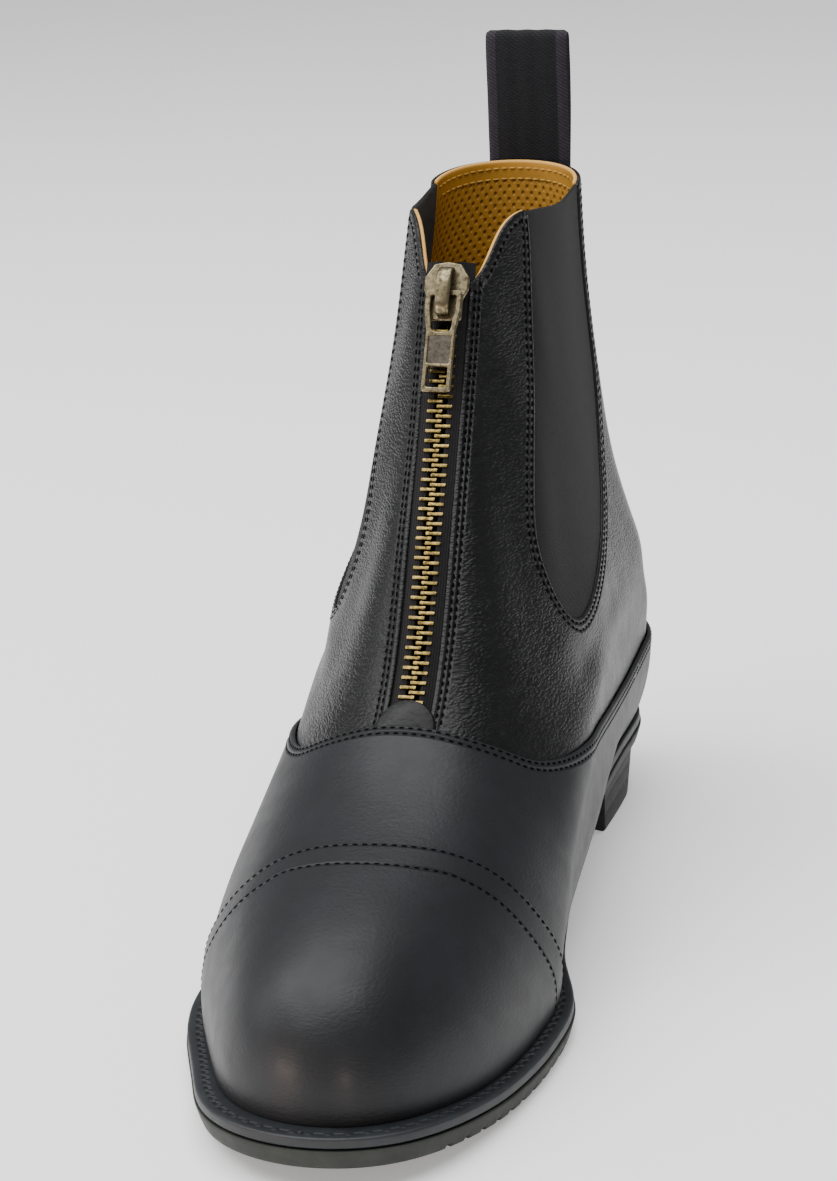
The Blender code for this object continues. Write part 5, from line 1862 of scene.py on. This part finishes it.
@dataclass
class BottomUnit:
    """Welt, outsole, heel and insole, swept round the outline of the sole."""

    skin: Skin
    finish: Finishes
    heel_length: float = 0.067
    heel_inset: float = 0.0026
    heel_taper: float = 0.0016
    heel_slope: float = 0.0060
    heel_hollow: float = 0.0060
    groove_pitch: float = 0.0058
    groove_width: float = 0.0016
    groove_depth: float = 0.0014
    edge_taper: float = 0.0012

    def __post_init__(self) -> None:
        """Find the feather loop and the outline round it."""
        last, s = self.skin.last, self.skin.last.size
        self.last = last
        loop = self.skin.flat[0]
        even = np.concatenate([[0], np.cumsum(np.linalg.norm(
            np.diff(np.vstack([loop, loop[:1]]), axis=0), axis=1))])
        self.count = 1100
        places = np.linspace(0, even[-1], self.count, endpoint=False)
        closed = np.vstack([loop, loop[:1]])
        self.feather = np.stack([np.interp(places, even, closed[:, c]) for c in range(2)], 1)
        edge = np.roll(self.feather, -3, axis=0) - np.roll(self.feather, 3, axis=0)
        out = np.stack([edge[:, 1], -edge[:, 0]], 1)
        self.out = out / np.linalg.norm(out, axis=1, keepdims=True)
        share = (self.feather[:, 1] - last.toe_start) / (last.heel_end - last.toe_start)
        margin = monotone(((0.00, s.toe_margin), (0.12, 0.75 * s.toe_margin),
                           (0.27, s.ball_margin), (0.55, s.waist_margin), (0.80, s.heel_margin),
                           (1.00, s.heel_margin)))
        self.margin = margin(share)
        self.run = places

    def ring(self, extra: float | np.ndarray) -> np.ndarray:
        """Outline moved outward by an extra beyond the sole's edge."""
        return self.feather + self.out * np.reshape(self.margin + extra, (-1, 1))

    def build(self) -> None:
        """Build the welt, the outsole, the heel and the insole."""
        self._welt()
        self._outsole()
        self._heel()
        self._insole()

    def _sweep(self, name: str, profile: Sequence[tuple[float, float]], base: float,
               material: bpy.types.Material, notch: Optional[np.ndarray] = None
               ) -> bpy.types.Object:
        """Sweep a profile of (outward, up) round the sole and close it below and above.

        Args:
            name: Object name.
            profile: Places outward and up, from below to above.
            base: Height above the outsole's underside.
            material: Its material.
            notch: Lift of the lowest rows, point by point.

        Returns:
            The object.
        """
        rows, values_out, values_run = [], [], []
        for k, (outward, up) in enumerate(profile):
            ring = self.ring(outward)
            z = self.last.sole_bottom(ring[:, 1]) + base + up
            if notch is not None and k < 3:
                z = z + notch * (1.0, 1.0, 0.6)[k]
            rows.append(np.column_stack([ring, z]))
            values_out.append(np.full(self.count, outward))
            values_run.append(self.run)
        vertices, faces = lofted(rows, capped=False)
        faces += closing(0, self.count, 1)
        faces += closing((len(rows) - 1) * self.count, self.count, -1)
        return add_mesh(name, self.last.world(vertices), faces, material,
                        {"edge": -np.concatenate(values_out), "run": np.concatenate(values_run)})

    def _welt(self) -> None:
        """Welt with a rolled top edge."""
        s = self.last.size
        thick = s.midsole
        profile = ((-0.0050, 0.0), (-0.0010, 0.0), (-0.0006, 0.0001), (-0.0004, 0.0003),
                   (-0.0004, thick * 0.30), (-0.0004, thick * 0.70), (-0.00045, thick - 0.0005),
                   (-0.0006, thick - 0.0002), (-0.0009, thick - 0.00005), (-0.0012, thick),
                   (-0.0018, thick), (-0.0030, thick), (-0.0060, thick), (-0.0085, thick),
                   (-0.0120, thick - 0.0002))
        welt = self._sweep("welt_moulded", profile, s.outsole + s.gap, self.finish.welt)
        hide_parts("midsole_welt")

    def _outsole(self) -> None:
        """Outsole with its rounded edge and the tread's grooves at both sides."""
        s = self.last.size
        thick, taper = s.outsole, self.edge_taper
        ring = self.ring(-0.001)
        notch = np.zeros(self.count)
        for y in np.arange(0.075 * s.length, 0.44 * s.length, self.groove_pitch):
            notch = np.maximum(notch, self.groove_depth * (1 - smoothstep(
                np.abs(ring[:, 1] - y), 0.30 * self.groove_width, 0.65 * self.groove_width)))
        profile = ((-0.0120, 0.0), (-taper - 0.0006, 0.0), (-taper - 0.0001, 0.0003),
                   (-taper * 0.75, thick * 0.30), (-taper * 0.30, thick * 0.70),
                   (-0.0001, thick - 0.0004), (-0.0002, thick - 0.0001), (-0.0006, thick),
                   (-0.0012, thick), (-0.0120, thick))
        outsole = self._sweep("outsole_moulded", profile, 0.0, self.finish.outsole, notch)
        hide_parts("outsole")

    def _heel(self) -> None:
        """Heel block with faint lift lines, a hollowed sloping breast and rounded edges."""
        s = self.last.size
        levels = ((0.000, 0.0007), (0.012, 0.0003), (0.03, 0.0), (0.34, 0.0), (0.35, 0.00010),
                  (0.36, 0.0), (0.67, 0.0), (0.68, 0.00010), (0.69, 0.0), (0.97, 0.0),
                  (1.0, 0.0003))
        middle = s.length - self.heel_length / 2
        loops = []
        for share, extra in levels:
            inset = self.heel_inset + self.heel_taper * (1 - share) + extra
            breast = s.length - self.heel_length + self.heel_slope * (1 - share)
            loop = self.ring(-inset)
            rear = loop[self.ring(-self.heel_inset)[:, 1] > s.length - self.heel_length + 0.004]
            rear = rear[np.argsort(np.arctan2(rear[:, 0], rear[:, 1] - middle))]
            rear[:, 1] = np.maximum(rear[:, 1], breast + 0.001)
            left, right = rear[0], rear[-1]
            front = [(right[0] + (left[0] - right[0]) * t,
                      breast + self.heel_hollow * math.sin(math.pi * t))
                     for t in np.linspace(0, 1, 41)]
            ring = np.vstack([rear, front])
            top = self.last.sole_bottom(ring[:, 1]) - s.gap
            loops.append(np.column_stack([ring, top * share]))
        vertices, faces = lofted(loops)
        heel = add_mesh("heel_moulded", self.last.world(vertices), faces, self.finish.heel,
                        sharp=50)
        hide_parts("heel")

    def _insole(self) -> None:
        """Insole board covered with the lining's leather."""
        s = self.last.size
        ring = self.feather - self.out * (s.wall + 3 * s.gap)
        low = self.last.feather(ring[:, 1])
        rows = [np.column_stack([ring, low]), np.column_stack([ring, low + 0.0026]),
                np.column_stack([ring - self.out * 0.0006, low + 0.0030])]
        vertices, faces = lofted(rows, capped=False)
        faces += closing(0, self.count, 1) + closing(2 * self.count, self.count, -1)
        insole = add_mesh("insole_covered", self.last.world(vertices), faces, self.finish.insole,
                          uv=vertices[:, :2])
        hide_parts("insole")


@dataclass
class FootPiece:
    """Small leather piece with a rounded head over the zip's foot."""

    last: Last
    finish: Finishes
    width: float = 0.0150
    length: float = 0.0085

    def build(self) -> None:
        """Lay the piece over the ridge, curved with it, and round its edge."""
        start = self.last.ridge_length(self.last.size.zip_foot)
        half, rows = self.width / 2, []
        dome = [(half * math.cos(a), -0.0060 + 0.0078 * math.sin(a))
                for a in np.linspace(0, math.pi, 25)]
        outline = dome + [(-half, -self.length), (half, -self.length)]
        rings = ((0.0, -0.0006), (0.15, 0.0001), (0.5, 0.00045), (0.9, 0.0006), (1.0, 0.0006))
        centre = np.mean(outline, axis=0)
        count = len(outline)
        for share, height in rings:
            inset = 1 - 0.11 * share if share < 1 else 0.0
            for x, v in outline:
                x, v = centre[0] + (x - centre[0]) * inset, centre[1] + (v - centre[1]) * inset
                origin, normal, _ = self.last.zip_frame(start + v)
                sag = 0.55 * (x / half) ** 2 * 0.0022
                rows.append(origin + normal * (0.0004 + height - sag) + np.array([x, 0, 0]))
        faces = [(i * count + k, i * count + (k + 1) % count, (i + 1) * count + (k + 1) % count,
                  (i + 1) * count + k) for i in range(len(rings) - 1) for k in range(count)]
        piece = add_mesh("zip_foot_leather", self.last.world(np.array(rows)), faces,
                         self.finish.strip)
        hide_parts("zip_foot_piece")


@dataclass
class Camera:
    """The camera of the photograph, fitted to both boots, aimed so that this boot is centred."""

    place: tuple[float, float, float] = (0.1939, -0.5485, 0.3163)
    yaw: float = -15.84
    pitch: float = 17.44
    roll: float = -2.47
    focal_pixels: float = 3106.0
    frame_pixels: float = 1181.0
    sensor: float = 24.0
    shift: float = -0.012

    def build(self, last: Last) -> None:
        """Add the camera and make it the scene's.

        Args:
            last: The form, for its place in the part's frame.
        """
        yaw, pitch, roll = (math.radians(a) for a in (self.yaw, self.pitch, self.roll))
        ahead = np.array([math.sin(yaw) * math.cos(pitch), math.cos(yaw) * math.cos(pitch),
                          -math.sin(pitch)])
        right = np.array([math.cos(yaw), -math.sin(yaw), 0])
        up = np.cross(right, ahead)
        right, up = (math.cos(roll) * right + math.sin(roll) * up,
                     -math.sin(roll) * right + math.cos(roll) * up)
        data = bpy.data.cameras.new("camera")
        data.sensor_fit, data.sensor_height = "VERTICAL", self.sensor
        data.lens = self.sensor * self.focal_pixels / self.frame_pixels
        data.shift_y = self.shift
        camera = bpy.data.objects.new("camera", data)
        bpy.context.scene.collection.objects.link(camera)
        place = last.world(np.array(self.place))
        camera.matrix_world = Matrix([[right[i], up[i], -ahead[i], place[i]] for i in range(3)]
                                     + [[0, 0, 0, 1]])
        bpy.context.scene.camera = camera


@dataclass(frozen=True)
class Softbox:
    """One rectangular area light."""

    name: str
    place: tuple[float, float, float]
    size: tuple[float, float]
    power: float
    aim: tuple[float, float, float] = (0.0, 0.0, 0.08)
    colour: str = "#ffffff"

    def build(self) -> None:
        """Add the light, aimed at its target."""
        data = bpy.data.lights.new(self.name, "AREA")
        data.shape, (data.size, data.size_y), data.energy = "RECTANGLE", self.size, self.power
        data.color = linear(self.colour)[:3]
        light = bpy.data.objects.new(self.name, data)
        bpy.context.scene.collection.objects.link(light)
        away = Vector(self.place) - Vector(self.aim)
        light.matrix_world = (Matrix.Translation(self.place)
                              @ away.to_track_quat("Z", "Y").to_matrix().to_4x4())


@dataclass
class Studio:
    """Pale floor and soft light."""

    floor_half: float = 6.0
    floor_glow: float = 0.30
    surroundings: float = 0.35

    def build(self) -> None:
        """Add the floor, the lights and the pale surroundings."""
        size = self.floor_half
        s = Shader("floor_paper", "#f4f4f4", 0.9, specular=0.1)
        # backlit paper, as on a light table: a glow of its own keeps it pale in soft light
        s.feed(s.bsdf, {"Emission Color": (1.0, 1.0, 1.0, 1.0),
                        "Emission Strength": self.floor_glow})
        s.relief(s.add("TexNoise", {"Scale": 900.0}), 0.00002)
        mesh = bpy.data.meshes.new("floor")
        mesh.from_pydata([(-size, -size, 0), (size, -size, 0), (size, size, 0), (-size, size, 0)],
                         [], [(0, 1, 2, 3)])
        mesh.materials.append(s.finish())
        floor = bpy.data.objects.new("floor", mesh)
        bpy.context.scene.collection.objects.link(floor)
        for box in (
            Softbox("overhead", (-0.30, -0.15, 1.5), (1.5, 2.1), 50.0),
            Softbox("left", (-1.3, -0.1, 0.8), (0.7, 1.0), 6.0),
            Softbox("low_left", (-0.95, -1.15, 0.10), (0.60, 0.10), 8.0, colour="#ffe2cc"),
            Softbox("low_front", (0.60, -1.4, 0.12), (0.22, 0.08), 3.5, colour="#ffe2cc"),
        ):
            box.build()
        world = bpy.data.worlds.new("surroundings")
        world.use_nodes = True
        background = world.node_tree.nodes["Background"]
        background.inputs["Color"].default_value = (1.0, 1.0, 1.0, 1.0)
        background.inputs["Strength"].default_value = self.surroundings
        bpy.context.scene.world = world


def main() -> None:
    """Build the boot's look, piece by piece, and the studio round it."""
    logging.basicConfig(level=logging.INFO, format="%(message)s")
    last = Last()
    finish = Finishes()
    skin = Skin(last)
    UpperSet(skin, finish).build()
    Zip(last, finish).build()
    PullLoop(last, finish).build()
    BottomUnit(skin, finish).build()
    FootPiece(last, finish).build()
    Studio().build()
    Camera().build(last)


if __name__ == "__main__":
    main()
